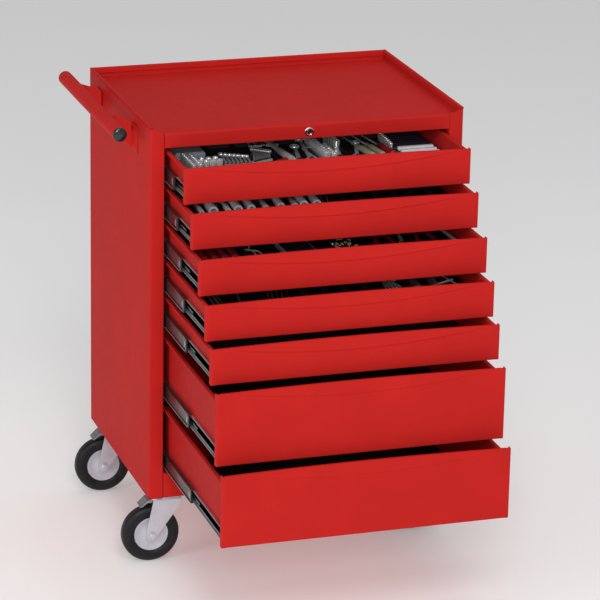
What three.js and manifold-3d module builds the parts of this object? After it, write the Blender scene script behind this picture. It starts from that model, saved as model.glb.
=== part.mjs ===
// Rolling tool chest: a sheet-steel cabinet on four casters with seven drawers,
// a tray top, a push handle on the left side and a central lock.
// Millimetres. X runs across the cabinet, Y from its front (0) to its back, Z up from the floor.
import * as THREE from 'three';
import { mergeVertices } from 'three/addons/utils/BufferGeometryUtils.js';
import Module from 'manifold-3d';

const wasm = await Module();
wasm.setup();

// ---------------------------------------------------------------- driving dimensions

// Cabinet shell
const cabinetWidth = 680;
const cabinetDepth = 500;
const bodyHeight = 815; // underside of the base to the top of the lips
const sheet = 1.5; // steel sheet
const gap = 0.3; // between pieces that touch
const lap = 0.1; // how far two sheets of one piece run into each other
const postWidth = 31; // front face of each upright beside the drawers
const postReturn = 25; // how far the post folds back into the cabinet
const headerHeight = 32; // front face between the tray top and the drawers
const sillHeight = 56; // front face below the drawers
const basePlate = 2;

// Tray top
const lipHeight = 22; // tray floor to the top of the side and back lips
const frontLipDrop = 14; // top of the side lips to the top of the front edge
const frontLipDepth = 10;
const hemWidth = 7;
const hemDrop = 12;
const edgeReturn = 18; // depth of the folds above and below the drawer opening

// Drawers
const drawerCount = 7;
const deepDrawerCount = 2; // the lowest ones
const deepFrontHeight = 153;
const drawerGap = 4; // above, below and between the fronts
const drawerSideGap = 3;
const frontDepth = 12; // from the face of a front to the box behind it
const pullHeight = 23; // of the dished finger pull, at its middle
const pullSetback = 9; // how far the top edge is dished in
const pullEndMargin = 22; // plain strip at each end of the pull
const pullSteps = 16;
const boxFloorRise = 6; // bottom of the front to the bottom of the box
const shallowRimDrop = 5; // top of the front to the rim of the box
const deepRimDrop = 18;
const boxRimWidth = 8;
const rearClearance = 40; // behind a closed box

// Telescopic drawer slides, three members each
const slideHeight = 35;
const slideThickness = 13.2; // from the post to the side of the box
const slideRise = 4.5; // bottom of the front to the bottom of the slide
const raceGap = 1.5; // room for the balls between two members
const outerFlange = 9;
const middleFrom = 3;
const middleWeb = 5;
const innerFlangeFrom = 8;
const travelLoss = 18; // slide length less the full travel
const uprightFlange = 20;
const openShares = [0.325, 0.449, 0.584, 0.698, 0.788, 0.886, 0.991]; // opening of each drawer at rest

// Lock
const lockFlangeRadius = 10;
const lockBodyRadius = 7;
const lockCoreRadius = 5.4;
const lockLength = 20;
const lockDrop = 31; // top of the lips to the lock's axis
const camLength = 8;
const camHalfWidth = 4;
const camThickness = 2.5;
const lockFlangeFace = 2.2; // how far the flange stands out of the header
const lockCoreFace = 1.8;
const keywayWidth = 1.4;
const keywayHeight = 7;
const keywayDepth = 10;
const lockBarWidth = 20;
const lockBarSheet = 3;
const lockBarTravel = 9;
const linkHeight = 10;
const lugHeight = 4; // of the lug that the cam pushes down
const lugClearance = 3.5; // cam to lug
const lugDepth = 4;
const barClearance = 4; // hook to bar, across
const hookReach = 24;
const hookHeight = 9;
const hookHalfWidth = 8;
const hookDrop = 22; // top of a front to the underside of its hook

// Side handle
const handleRadius = 15;
const handleWall = 1.8;
const handleOffset = 57; // side panel to the handle's axis
const handleDrop = 17.5; // top of the lips to the handle's axis
const handleFrontInset = 27; // cabinet front to the tube's front end
const handleBackInset = 9; // cabinet back to the tube's back end
const bracketFrontInset = 140; // cabinet front to the front bracket's plate
const bracketBackInset = 108; // cabinet back to the rear bracket's plate
const bracketSheet = 2.5;
const bracketFlange = 44;
const bracketTopDrop = 25;
const bracketBottomDrop = 83;
const plugDome = 6;
const plugDepth = 18;

// Casters
const wheelRadius = 62.5;
const wheelWidth = 30;
const treadFacets = 36;
const rimRadius = 37;
const axleRadius = 5;
const casterHeadHeight = 31; // top of the wheel to the underside of the cabinet
const swivelInsetX = 52; // side of the cabinet to a swivel's axis
const swivelInsetY = 45; // front or back of the cabinet to a swivel's axis
const fixedInsetX = 66; // the same for the fixed pair on the right
const fixedInsetY = 64;
const casterPlateX = 92;
const casterPlateY = 74;
const casterPlateSheet = 3;
const casterTrail = 38;
const forkSheet = 3;
const forkClearance = 3; // between the wheel and each leg
const racewayRadius = 30;
const racewayHeight = 8;
const pedalWidth = 33;
const pedalReach = 26;
const pedalFall = 15; // from the fork's crown down to the pedal's tip
const pedalSheet = 3;

// ---------------------------------------------------------------- derived sizes

const halfWidth = cabinetWidth / 2;
const baseZ = 2 * wheelRadius + casterHeadHeight;
const lipTop = baseZ + bodyHeight;
const trayFloorZ = lipTop - lipHeight;
const headerTop = lipTop - frontLipDrop;
const openingTop = headerTop - headerHeight;
const openingBottom = baseZ + sillHeight;
const openingHalf = halfWidth - postWidth;
const shallowCount = drawerCount - deepDrawerCount;
const stackHeight = openingTop - openingBottom - (drawerCount + 1) * drawerGap;
const shallowFrontHeight = (stackHeight - deepDrawerCount * deepFrontHeight) / shallowCount;
const slideLength = cabinetDepth - rearClearance - frontDepth;
const fullTravel = slideLength - travelLoss;
const boxHalf = openingHalf - slideThickness;
const slideCentre = slideRise + slideHeight / 2;
const lockZ = lipTop - lockDrop;
const handleX = -halfWidth - handleOffset;
const handleZ = lipTop - handleDrop;
const innerHalf = halfWidth - sheet - gap;

// Fronts from the top down: height of the front, height of its bottom edge, opening at rest.
const drawers = [];
let stackTop = openingTop;
for (let i = 0; i < drawerCount; i += 1) {
  const height = i < shallowCount ? shallowFrontHeight : deepFrontHeight;
  const bottom = stackTop - drawerGap - height;
  drawers.push({ number: i + 1, height, bottom, opening: openShares[i] * fullTravel });
  stackTop = bottom;
}
const widestOpening = Math.max(...drawers.map((drawer) => drawer.opening));

// ---------------------------------------------------------------- finishes

const finishes = {
  redPaint: { color: 0xb3282b, roughness: 0.45, metalness: 0.0 },
  zinc: { color: 0xb9bcc0, roughness: 0.35, metalness: 1.0 },
  chrome: { color: 0xd8dadd, roughness: 0.12, metalness: 1.0 },
  tyreRubber: { color: 0x1e1e20, roughness: 0.8, metalness: 0.0 },
  rimPlastic: { color: 0xd2d3d6, roughness: 0.4, metalness: 0.0 },
  blackPlastic: { color: 0x15161a, roughness: 0.35, metalness: 0.0 },
  pedalSteel: { color: 0x9a9ca1, roughness: 0.45, metalness: 0.8 },
};

// ---------------------------------------------------------------- solid helpers

// A closed three.js geometry as a solid, with shared vertices and outward faces.
function solid(geometry) {
  geometry.deleteAttribute('normal');
  geometry.deleteAttribute('uv');
  const merged = mergeVertices(geometry, 1e-4);
  const position = merged.getAttribute('position');
  const corners = merged.index.array;
  const a = new THREE.Vector3();
  const b = new THREE.Vector3();
  const c = new THREE.Vector3();
  const triangles = [];
  let volume = 0;
  for (let i = 0; i < corners.length; i += 3) {
    const [p, q, r] = [corners[i], corners[i + 1], corners[i + 2]];
    if (p !== q && q !== r && r !== p) {
      triangles.push(p, q, r);
      a.fromBufferAttribute(position, p);
      b.fromBufferAttribute(position, q);
      c.fromBufferAttribute(position, r);
      volume += a.dot(b.cross(c));
    }
  }
  if (volume < 0) triangles.reverse();
  const vertProperties = new Float32Array(position.array);
  const triVerts = new Uint32Array(triangles);
  return new wasm.Manifold(new wasm.Mesh({ numProp: 3, vertProperties, triVerts }));
}

function join(...solids) {
  return solids.reduce((whole, piece) => whole.add(piece));
}

// A block between two values on each axis, given in either order.
function slab(x, y, z) {
  const size = [x, y, z].map(([from, to]) => Math.abs(to - from));
  const centre = [x, y, z].map(([from, to]) => (from + to) / 2);
  return solid(new THREE.BoxGeometry(...size).translate(...centre));
}

function outline(points) {
  return new THREE.Shape(points.map(([u, v]) => new THREE.Vector2(u, v)));
}

// An outline in (y, z) carried along X.
function prismX(points, from, to) {
  const geometry = new THREE.ExtrudeGeometry(outline(points), { depth: to - from, bevelEnabled: false });
  const basis = new THREE.Matrix4().makeBasis(
    new THREE.Vector3(0, 1, 0),
    new THREE.Vector3(0, 0, 1),
    new THREE.Vector3(1, 0, 0),
  );
  return solid(geometry.applyMatrix4(basis).translate(from, 0, 0));
}

// An outline in (x, z) carried along Y.
function prismY(points, from, to) {
  const geometry = new THREE.ExtrudeGeometry(outline(points), { depth: to - from, bevelEnabled: false });
  const basis = new THREE.Matrix4().makeBasis(
    new THREE.Vector3(1, 0, 0),
    new THREE.Vector3(0, 0, 1),
    new THREE.Vector3(0, -1, 0),
  );
  return solid(geometry.applyMatrix4(basis).translate(0, to, 0));
}

// An outline in (x, y) carried along Z.
function prismZ(points, from, to) {
  const geometry = new THREE.ExtrudeGeometry(outline(points), { depth: to - from, bevelEnabled: false });
  return solid(geometry.translate(0, 0, from));
}

// A profile of [radius, y] points turned about the Y axis through (x, z).
function turned(profile, x, z, segments = 32) {
  const points = profile.map(([radius, y]) => new THREE.Vector2(radius, y));
  return solid(new THREE.LatheGeometry(points, segments).translate(x, 0, z));
}

// A closed profile is one that comes back to its first point.
function closed(profile) {
  return [...profile, profile[0]];
}

function rodY(radius, x, z, from, to, segments = 24) {
  return turned([[0, from], [radius, from], [radius, to], [0, to]], x, z, segments);
}

function rodZ(radius, x, y, from, to, segments = 28) {
  const geometry = new THREE.CylinderGeometry(radius, radius, to - from, segments);
  return solid(geometry.rotateX(Math.PI / 2).translate(x, y, (from + to) / 2));
}

function addMesh(parent, name, body, finish) {
  const { vertProperties, triVerts } = body.getMesh();
  const geometry = new THREE.BufferGeometry();
  geometry.setAttribute('position', new THREE.BufferAttribute(new Float32Array(vertProperties), 3));
  geometry.setIndex(new THREE.BufferAttribute(new Uint32Array(triVerts), 1));
  geometry.computeVertexNormals();
  const mesh = new THREE.Mesh(geometry, new THREE.MeshStandardMaterial(finishes[finish]));
  mesh.name = name;
  parent.add(mesh);
}

// ---------------------------------------------------------------- cabinet shell

// One side sheet: the skin, the post folded round beside the drawers, and the lip's hem on top.
function sidePanel(side) {
  const x = (inward) => side * (halfWidth - inward);
  const bottom = baseZ + basePlate + gap;
  const skin = slab([x(0), x(sheet)], [0, cabinetDepth], [bottom, lipTop]);
  const corners = [[x(0), bottom], [x(postWidth), bottom], [x(postWidth), headerTop], [x(0), lipTop]];
  const postFace = prismY(corners, 0, sheet);
  const returnTop = trayFloorZ - sheet - gap;
  const postFold = slab([x(postWidth), x(postWidth - sheet)], [0, postReturn], [bottom, returnTop]);
  const hemTop = slab([x(0), x(hemWidth)], [0, cabinetDepth], [lipTop - sheet, lipTop]);
  const hemInner = [x(hemWidth), x(hemWidth - sheet)];
  const hemFold = slab(hemInner, [frontLipDepth + gap, cabinetDepth], [lipTop - hemDrop, lipTop]);
  return join(skin, postFace, postFold, hemTop, hemFold);
}

function backPanel() {
  const bottom = baseZ + basePlate + gap;
  const skinY = [cabinetDepth - sheet, cabinetDepth];
  const skin = slab([-innerHalf, innerHalf], skinY, [bottom, lipTop - hemDrop - gap]);
  const hemHalf = halfWidth - hemWidth - gap;
  const hemFront = cabinetDepth - hemWidth;
  const neck = slab([-hemHalf, hemHalf], skinY, [bottom, lipTop]);
  const hemTop = slab([-hemHalf, hemHalf], [hemFront, cabinetDepth], [lipTop - sheet, lipTop]);
  const hemFold = slab([-hemHalf, hemHalf], [hemFront, hemFront + sheet], [lipTop - hemDrop, lipTop]);
  return join(skin, neck, hemTop, hemFold);
}

// The bottom pan, whose front edge is folded up as the sill below the lowest drawer.
function basePanel() {
  const half = openingHalf - gap;
  const floor = slab([-halfWidth, halfWidth], [0, cabinetDepth], [baseZ, baseZ + basePlate]);
  const sill = slab([-half, half], [0, sheet], [baseZ, openingBottom]);
  const sillFold = slab([-half, half], [0, edgeReturn], [openingBottom - sheet, openingBottom]);
  return join(floor, sill, sillFold);
}

// The rail across the top of the drawers. It rolls over the front edge of the tray.
function frontHeader() {
  const half = openingHalf - gap;
  const face = slab([-half, half], [0, sheet], [openingTop, headerTop]);
  const fold = slab([-half, half], [0, edgeReturn], [openingTop, openingTop + sheet]);
  const roll = slab([-half, half], [0, frontLipDepth], [headerTop - sheet, headerTop]);
  const behindPosts = [sheet + gap, frontLipDepth];
  const ends = slab([-innerHalf, innerHalf], behindPosts, [headerTop - sheet, headerTop]);
  const dropBottom = trayFloorZ - sheet;
  const drop = slab([-innerHalf, innerHalf], [frontLipDepth - sheet, frontLipDepth], [dropBottom, headerTop]);
  const lockHole = rodY(lockBodyRadius + gap, 0, lockZ, -1, frontLipDepth + 1);
  return join(face, fold, roll, ends, drop).subtract(lockHole);
}

// The sheet floor of the tray top, with its edges turned up inside the lips.
function topTray() {
  const front = frontLipDepth + gap;
  const back = cabinetDepth - sheet - gap;
  const floor = slab([-innerHalf, innerHalf], [front, back], [trayFloorZ - sheet, trayFloorZ]);
  const upstand = [trayFloorZ - sheet, lipTop - sheet - gap];
  const left = slab([-innerHalf, -innerHalf + sheet], [front, back], upstand);
  const right = slab([innerHalf - sheet, innerHalf], [front, back], upstand);
  const rearHalf = halfWidth - hemWidth - gap;
  const rear = slab([-rearHalf, rearHalf], [back - sheet, back], upstand);
  return join(floor, left, right, rear);
}

function addCabinet(chest) {
  addMesh(chest, 'left_side_panel', sidePanel(-1), 'redPaint');
  addMesh(chest, 'right_side_panel', sidePanel(1), 'redPaint');
  addMesh(chest, 'back_panel', backPanel(), 'redPaint');
  addMesh(chest, 'base_panel', basePanel(), 'redPaint');
  addMesh(chest, 'front_header', frontHeader(), 'redPaint');
  addMesh(chest, 'top_tray', topTray(), 'redPaint');
}

// ---------------------------------------------------------------- side handle

// A folded bracket: a flange on the side panel and a plate coped round the tube.
// toward is -1 when the flange runs to the front of the plate and 1 when it runs to the back.
function handleBracket(plateY, toward) {
  const panelX = -halfWidth - gap;
  const tip = handleX + handleRadius * 0.6;
  const topZ = lipTop - bracketTopDrop;
  const bottomZ = lipTop - bracketBottomDrop;
  const plateOutline = [
    [panelX, topZ],
    [panelX - handleOffset * 0.45, topZ + bracketTopDrop * 0.5],
    [tip, handleZ + handleRadius * 0.65],
    [handleX, handleZ],
    [tip, handleZ - handleRadius * 0.8],
    [panelX, bottomZ],
  ];
  const half = bracketSheet / 2;
  const plate = prismY(plateOutline, plateY - half, plateY + half);
  const cope = rodY(handleRadius + gap, handleX, handleZ, plateY - 2 * half, plateY + 2 * half, 32);
  const flangeY = [plateY - toward * half, plateY + toward * bracketFlange];
  const flange = slab([panelX - bracketSheet, panelX], flangeY, [bottomZ, topZ]);
  return join(plate.subtract(cope), flange);
}

// A domed plastic plug whose stub sits in the tube's bore. outward is -1 at the front end.
function handlePlug(endY, outward) {
  const bore = handleRadius - handleWall;
  const y = (distance) => endY + outward * distance;
  const profile = [
    [0, y(-plugDepth)],
    [bore - gap, y(-plugDepth)],
    [bore - gap, y(gap)],
    [handleRadius, y(gap)],
    [handleRadius, y(plugDome * 0.4)],
    [handleRadius * 0.8, y(plugDome * 0.75)],
    [handleRadius * 0.45, y(plugDome * 0.94)],
    [0, y(plugDome)],
  ];
  return turned(profile, handleX, handleZ);
}

function addHandle(chest) {
  const frontEnd = handleFrontInset;
  const backEnd = cabinetDepth - handleBackInset;
  const bore = handleRadius - handleWall;
  const tubeProfile = [[bore, frontEnd], [handleRadius, frontEnd], [handleRadius, backEnd], [bore, backEnd]];
  addMesh(chest, 'handle_tube', turned(closed(tubeProfile), handleX, handleZ), 'redPaint');
  addMesh(chest, 'handle_bracket_front', handleBracket(bracketFrontInset, -1), 'redPaint');
  addMesh(chest, 'handle_bracket_rear', handleBracket(cabinetDepth - bracketBackInset, 1), 'redPaint');
  addMesh(chest, 'handle_plug_front', handlePlug(frontEnd, -1), 'blackPlastic');
  addMesh(chest, 'handle_plug_rear', handlePlug(backEnd, 1), 'blackPlastic');
}

// ---------------------------------------------------------------- central lock

// The bar behind the drawers, its finger over each drawer's hook, and the link forward to the cam.
function lockBar() {
  const barBack = boxBackClosed() + hookReach * 0.75;
  const barY = [barBack - lockBarSheet, barBack];
  const barX = [hookHalfWidth + barClearance, hookHalfWidth + barClearance + lockBarWidth];
  const linkTop = trayFloorZ - sheet - lockBarSheet - gap;
  const linkZ = [linkTop - linkHeight, linkTop];
  const linkX = [barX[0], barX[0] + lockBarSheet];
  const linkFront = lockLength + camThickness + lugDepth - 1;
  const lowest = drawers[drawerCount - 1];
  const upright = slab(barX, barY, [lowest.bottom + lowest.height - hookDrop, linkTop]);
  const link = slab(linkX, [linkFront, barBack], linkZ);
  const lugTop = lockZ - camHalfWidth - lugClearance;
  const lugZ = [lugTop - lugHeight, lugTop];
  const lug = slab([-camHalfWidth, linkX[1]], [linkFront - lugDepth, linkFront + 1], lugZ);
  const lugNeck = slab(linkX, [linkFront, linkFront + 3 * lugDepth], [lugZ[0], linkTop]);
  const fingerInset = hookHalfWidth / 4; // a finger stops short of its hook's far side
  const fingers = drawers.map((drawer) => {
    const hookTop = drawer.bottom + drawer.height - hookDrop + sheet;
    const fingerBottom = hookTop + lockBarTravel + 1;
    return slab([fingerInset - hookHalfWidth, barX[1]], barY, [fingerBottom, fingerBottom + linkHeight]);
  });
  return join(upright, link, lug, lugNeck, ...fingers);
}

function addLock(chest) {
  const bore = lockCoreRadius + gap;
  const barrelProfile = [
    [bore, -lockFlangeFace],
    [lockFlangeRadius - 1.5, -lockFlangeFace],
    [lockFlangeRadius, -gap],
    [lockBodyRadius, -gap],
    [lockBodyRadius, lockLength],
    [bore, lockLength],
  ];
  addMesh(chest, 'lock_barrel', turned(closed(barrelProfile), 0, lockZ, 32), 'chrome');
  const camY = [lockLength + gap, lockLength + gap + camThickness];
  const plug = rodY(lockCoreRadius, 0, lockZ, -lockCoreFace, camY[1]);
  const keywayX = [-keywayWidth / 2, keywayWidth / 2];
  const keywayZ = [lockZ - keywayHeight / 2, lockZ + keywayHeight / 2];
  const keyway = slab(keywayX, [-keywayDepth, keywayDepth - lockCoreFace], keywayZ);
  const camX = [-camHalfWidth, camLength + camHalfWidth];
  const cam = slab(camX, camY, [lockZ - camHalfWidth, lockZ + camHalfWidth]);
  addMesh(chest, 'lock_core', join(plug.subtract(keyway), cam), 'chrome');
  addMesh(chest, 'lock_bar', lockBar(), 'zinc');
}

// ---------------------------------------------------------------- drawer slides

// A distance measured inward from the edge of the drawer opening, on either side.
function inward(side, distance) {
  return side * (openingHalf - distance);
}

// Where the rear end of a closed box stands.
function boxBackClosed() {
  return frontDepth + slideLength;
}

// The fixed outer members of one side, on a front strap and a rear upright of Z section.
function slideRack(side) {
  const s = (distance) => inward(side, distance);
  const top = slideHeight / 2;
  const railY = [frontDepth, frontDepth + slideLength];
  const rails = drawers.map((drawer) => {
    const z = drawer.bottom + slideCentre;
    const section = [
      [s(gap), z - top],
      [s(outerFlange), z - top],
      [s(outerFlange), z - top + sheet],
      [s(gap + sheet), z - top + sheet],
      [s(gap + sheet), z + top - sheet],
      [s(outerFlange), z + top - sheet],
      [s(outerFlange), z + top],
      [s(gap), z + top],
    ];
    return prismY(section, railY[0], railY[1]);
  });
  const uprightZ = [baseZ + basePlate + gap, trayFloorZ - sheet - gap];
  const skinS = -(postWidth - sheet - gap);
  const strapS = gap + lap;
  const webY = railY[1] - uprightFlange - sheet;
  const rearUpright = prismZ(
    [
      [s(skinS), webY - uprightFlange],
      [s(skinS + sheet), webY - uprightFlange],
      [s(skinS + sheet), webY],
      [s(strapS), webY],
      [s(strapS), webY + uprightFlange],
      [s(strapS - sheet), webY + uprightFlange],
      [s(strapS - sheet), webY + sheet],
      [s(skinS), webY + sheet],
    ],
    uprightZ[0],
    uprightZ[1],
  );
  const strapY = [postReturn + gap, postReturn + uprightFlange];
  const frontStrap = slab([s(strapS - sheet), s(strapS)], strapY, uprightZ);
  return join(...rails, frontStrap, rearUpright);
}

// The middle member of one slide, an I section that rides half as far as its drawer.
function middleMember(side) {
  const s = (distance) => inward(side, distance);
  const top = slideHeight / 2 - sheet - raceGap;
  const middleTo = slideThickness - 2;
  const section = [
    [s(middleFrom), -top],
    [s(middleTo), -top],
    [s(middleTo), -top + sheet],
    [s(middleWeb + sheet), -top + sheet],
    [s(middleWeb + sheet), top - sheet],
    [s(middleTo), top - sheet],
    [s(middleTo), top],
    [s(middleFrom), top],
    [s(middleFrom), top - sheet],
    [s(middleWeb), top - sheet],
    [s(middleWeb), -top + sheet],
    [s(middleFrom), -top + sheet],
  ];
  return prismY(section, frontDepth, frontDepth + slideLength);
}

// The inner member, fixed to the side of a box.
function innerMember(side) {
  const s = (distance) => inward(side, distance);
  const top = slideHeight / 2 - 2 * sheet - 2 * raceGap;
  const z = slideCentre;
  const y = [frontDepth + gap, frontDepth + slideLength];
  const web = slab([s(slideThickness - sheet), s(slideThickness + sheet / 2)], y, [z - top, z + top]);
  const flangeS = [s(innerFlangeFrom), s(slideThickness)];
  const upper = slab(flangeS, y, [z + top - sheet, z + top]);
  const lower = slab(flangeS, y, [z - top, z - top + sheet]);
  return join(web, upper, lower);
}

// ---------------------------------------------------------------- drawers

// The front sheet. Below the pull's arc it is flat; above it, it leans back to the top edge.
function dishedSheet(half, height) {
  const rows = 3;
  const columns = pullSteps + 3;
  const pullHalf = half - pullEndMargin;
  const xs = [-half];
  for (let i = 0; i <= pullSteps; i += 1) xs.push(-pullHalf + (2 * pullHalf * i) / pullSteps);
  xs.push(half);
  const positions = [];
  for (const back of [0, sheet]) {
    for (const x of xs) {
      const share = Math.max(0, 1 - (x / pullHalf) ** 2);
      const arcZ = height - Math.max(pullHeight * share, sheet);
      const setback = pullSetback * share;
      positions.push(x, back, 0, x, back, arcZ, x, back + setback, height);
    }
  }
  const vertex = (layer, column, row) => (layer * columns + column) * rows + row;
  const triangles = [];
  const quad = (a, b, c, d) => triangles.push(a, b, c, a, c, d);
  for (let column = 0; column < columns - 1; column += 1) {
    const next = column + 1;
    for (let row = 0; row < rows - 1; row += 1) {
      quad(vertex(0, column, row), vertex(0, next, row), vertex(0, next, row + 1), vertex(0, column, row + 1));
      quad(vertex(1, column, row), vertex(1, column, row + 1), vertex(1, next, row + 1), vertex(1, next, row));
    }
    const top = rows - 1;
    quad(vertex(0, column, 0), vertex(1, column, 0), vertex(1, next, 0), vertex(0, next, 0));
    quad(vertex(0, column, top), vertex(0, next, top), vertex(1, next, top), vertex(1, column, top));
  }
  for (let row = 0; row < rows - 1; row += 1) {
    const last = columns - 1;
    quad(vertex(0, 0, row), vertex(0, 0, row + 1), vertex(1, 0, row + 1), vertex(1, 0, row));
    quad(vertex(0, last, row), vertex(1, last, row), vertex(1, last, row + 1), vertex(0, last, row + 1));
  }
  const geometry = new THREE.BufferGeometry();
  geometry.setAttribute('position', new THREE.Float32BufferAttribute(positions, 3));
  geometry.setIndex(triangles);
  return solid(geometry);
}

function drawerFront(height) {
  const half = openingHalf - drawerSideGap;
  const folds = [0, frontDepth];
  const face = dishedSheet(half, height);
  const lower = slab([-half, half], folds, [0, sheet]);
  const left = slab([-half, -half + sheet], folds, [0, height]);
  const right = slab([half - sheet, half], folds, [0, height]);
  return join(face, lower, left, right);
}

// The open box behind a front: floor, walls, side rims, inner slide members and the lock's hook.
function drawerBox(height) {
  const y = [frontDepth + gap, boxBackClosed()];
  const rimZ = height - (height > shallowFrontHeight ? deepRimDrop : shallowRimDrop);
  const hollowX = [-boxHalf + sheet, boxHalf - sheet];
  const hollow = slab(hollowX, [y[0] + sheet, y[1] - sheet], [boxFloorRise + sheet, rimZ + 1]);
  const box = slab([-boxHalf, boxHalf], y, [boxFloorRise, rimZ]).subtract(hollow);
  const rims = [-1, 1].map((side) => {
    const rimX = [side * (boxHalf - sheet), side * (boxHalf + boxRimWidth)];
    return slab(rimX, y, [rimZ - sheet, rimZ]);
  });
  const hookZ = height - hookDrop;
  const hookX = [-hookHalfWidth, hookHalfWidth];
  const hookPlate = slab(hookX, [y[1] - sheet, y[1] + hookReach], [hookZ, hookZ + sheet]);
  const hookEnd = slab(hookX, [y[1] + hookReach - sheet, y[1] + hookReach], [hookZ, hookZ + hookHeight]);
  return join(box, ...rims, innerMember(-1), innerMember(1), hookPlate, hookEnd);
}

function addDrawers(chest) {
  for (const { number, height, bottom, opening } of drawers) {
    const drawer = new THREE.Group();
    drawer.position.set(0, -opening, bottom);
    addMesh(drawer, `drawer_${number}_front`, drawerFront(height), 'redPaint');
    addMesh(drawer, `drawer_${number}_box`, drawerBox(height), 'redPaint');
    chest.add(drawer);
    const slides = new THREE.Group();
    slides.position.set(0, -opening / 2, bottom + slideCentre);
    addMesh(slides, `slide_middle_left_${number}`, middleMember(-1), 'zinc');
    addMesh(slides, `slide_middle_right_${number}`, middleMember(1), 'zinc');
    chest.add(slides);
  }
  addMesh(chest, 'slide_rack_left', slideRack(-1), 'zinc');
  addMesh(chest, 'slide_rack_right', slideRack(1), 'zinc');
}

// ---------------------------------------------------------------- casters

const legInner = wheelWidth / 2 + forkClearance;
const legOuter = legInner + forkSheet;
const casterTop = baseZ - gap;
const hubRadius = axleRadius + 7;

// The wheel's moulded centre and its tyre, turned about an axle at x. The tyre's facets touch the
// true circle, with one facet level at the bottom, so that the wheel stands on a flat.
function addWheel(caster, name, x) {
  const webHalf = wheelWidth * 0.3;
  const rimHalf = wheelWidth * 0.43;
  const treadHalf = wheelWidth / 2;
  const bore = axleRadius + gap;
  const hubHalf = legInner - 0.5;
  const rim = [
    [bore, -hubHalf],
    [hubRadius, -hubHalf],
    [hubRadius + 2, -webHalf],
    [rimRadius - 6, -webHalf],
    [rimRadius - 3, -rimHalf],
    [rimRadius, -rimHalf],
    [rimRadius, rimHalf],
    [rimRadius - 3, rimHalf],
    [rimRadius - 6, webHalf],
    [hubRadius + 2, webHalf],
    [hubRadius, hubHalf],
    [bore, hubHalf],
  ];
  const tyre = [
    [rimRadius + gap, -rimHalf],
    [rimRadius + 6, -treadHalf],
    [wheelRadius - 6, -treadHalf],
    [wheelRadius - 1.5, -treadHalf + 4],
    [wheelRadius, -treadHalf + 9],
    [wheelRadius, treadHalf - 9],
    [wheelRadius - 1.5, treadHalf - 4],
    [wheelRadius - 6, treadHalf],
    [rimRadius + 6, treadHalf],
    [rimRadius + gap, rimHalf],
  ];
  addMesh(caster, `${name}_rim`, turned(closed(rim), x, wheelRadius, 28), 'rimPlastic');
  const facetShare = 1 / Math.cos(Math.PI / treadFacets);
  const tread = closed(tyre).map(([radius, y]) => [radius * facetShare, y]);
  const tyreBody = turned(tread, 0, 0, treadFacets).rotate([0, 180 / treadFacets, 0]);
  addMesh(caster, `${name}_tyre`, tyreBody.translate([x, 0, wheelRadius]), 'tyreRubber');
}

// Two legs from a crown down to the axle, and the axle with its two nuts.
function legsAndAxle(topZ, crownX, axleX) {
  const footRadius = hubRadius;
  const leg = [
    [crownX[0], topZ],
    [crownX[0], topZ - forkSheet * 2],
    [axleX - footRadius, wheelRadius + footRadius * 0.5],
    [axleX - footRadius, wheelRadius - footRadius * 0.5],
    [axleX - footRadius * 0.5, wheelRadius - footRadius],
    [axleX + footRadius * 0.5, wheelRadius - footRadius],
    [axleX + footRadius, wheelRadius - footRadius * 0.5],
    [crownX[1], topZ - forkSheet * 3],
    [crownX[1], topZ],
  ];
  const near = prismY(leg, -legOuter, -legInner);
  const far = prismY(leg, legInner, legOuter);
  const axle = rodY(axleRadius, axleX, wheelRadius, -legOuter - 2, legOuter + 2, 20);
  const nuts = [-1, 1].map((end) => {
    const y = [end * legOuter, end * (legOuter + 6)].sort((a, b) => a - b);
    return rodY(axleRadius * 1.8, axleX, wheelRadius, y[0], y[1], 6);
  });
  return join(near, far, axle, ...nuts);
}

function addSwivelCaster(chest, name, y) {
  const caster = new THREE.Group();
  caster.position.set(-halfWidth + swivelInsetX, y, 0);
  const plateZ = [casterTop - casterPlateSheet, casterTop];
  const racewayZ = plateZ[0] - racewayHeight;
  const plate = slab([-casterPlateX / 2, casterPlateX / 2], [-casterPlateY / 2, casterPlateY / 2], plateZ);
  const raceway = rodZ(racewayRadius, 0, 0, racewayZ, plateZ[0] + 0.5);
  addMesh(caster, `${name}_plate`, join(plate, raceway), 'zinc');
  const crownTop = racewayZ - gap;
  const crownX = [-casterTrail + 2, racewayRadius - 3];
  const crown = slab(crownX, [-legOuter, legOuter], [crownTop - forkSheet, crownTop]);
  addMesh(caster, `${name}_fork`, join(crown, legsAndAxle(crownTop, crownX, -casterTrail)), 'zinc');
  addWheel(caster, name, -casterTrail);
  const pedalRoot = crownX[0] - 1;
  const pedalTop = crownTop - pedalSheet;
  const pedal = [
    [pedalRoot, pedalTop],
    [pedalRoot, pedalTop - pedalSheet],
    [pedalRoot - pedalReach * 0.3, pedalTop - pedalSheet],
    [pedalRoot - pedalReach, pedalTop - pedalFall - pedalSheet * 0.4],
    [pedalRoot - pedalReach, pedalTop - pedalFall + pedalSheet * 0.6],
    [pedalRoot - pedalReach * 0.3, pedalTop],
  ];
  addMesh(caster, `${name}_brake_pedal`, prismY(pedal, -pedalWidth / 2, pedalWidth / 2), 'pedalSteel');
  chest.add(caster);
}

function addFixedCaster(chest, name, y) {
  const caster = new THREE.Group();
  caster.position.set(halfWidth - fixedInsetX, y, 0);
  const plateZ = [casterTop - casterPlateSheet, casterTop];
  const plate = slab([-casterPlateX / 2, casterPlateX / 2], [-casterPlateY / 2, casterPlateY / 2], plateZ);
  const crownX = [-racewayRadius, racewayRadius];
  const legs = legsAndAxle(plateZ[0] + 0.5, crownX, 0);
  addMesh(caster, `${name}_bracket`, join(plate, legs), 'zinc');
  addWheel(caster, name, 0);
  chest.add(caster);
}

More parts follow.
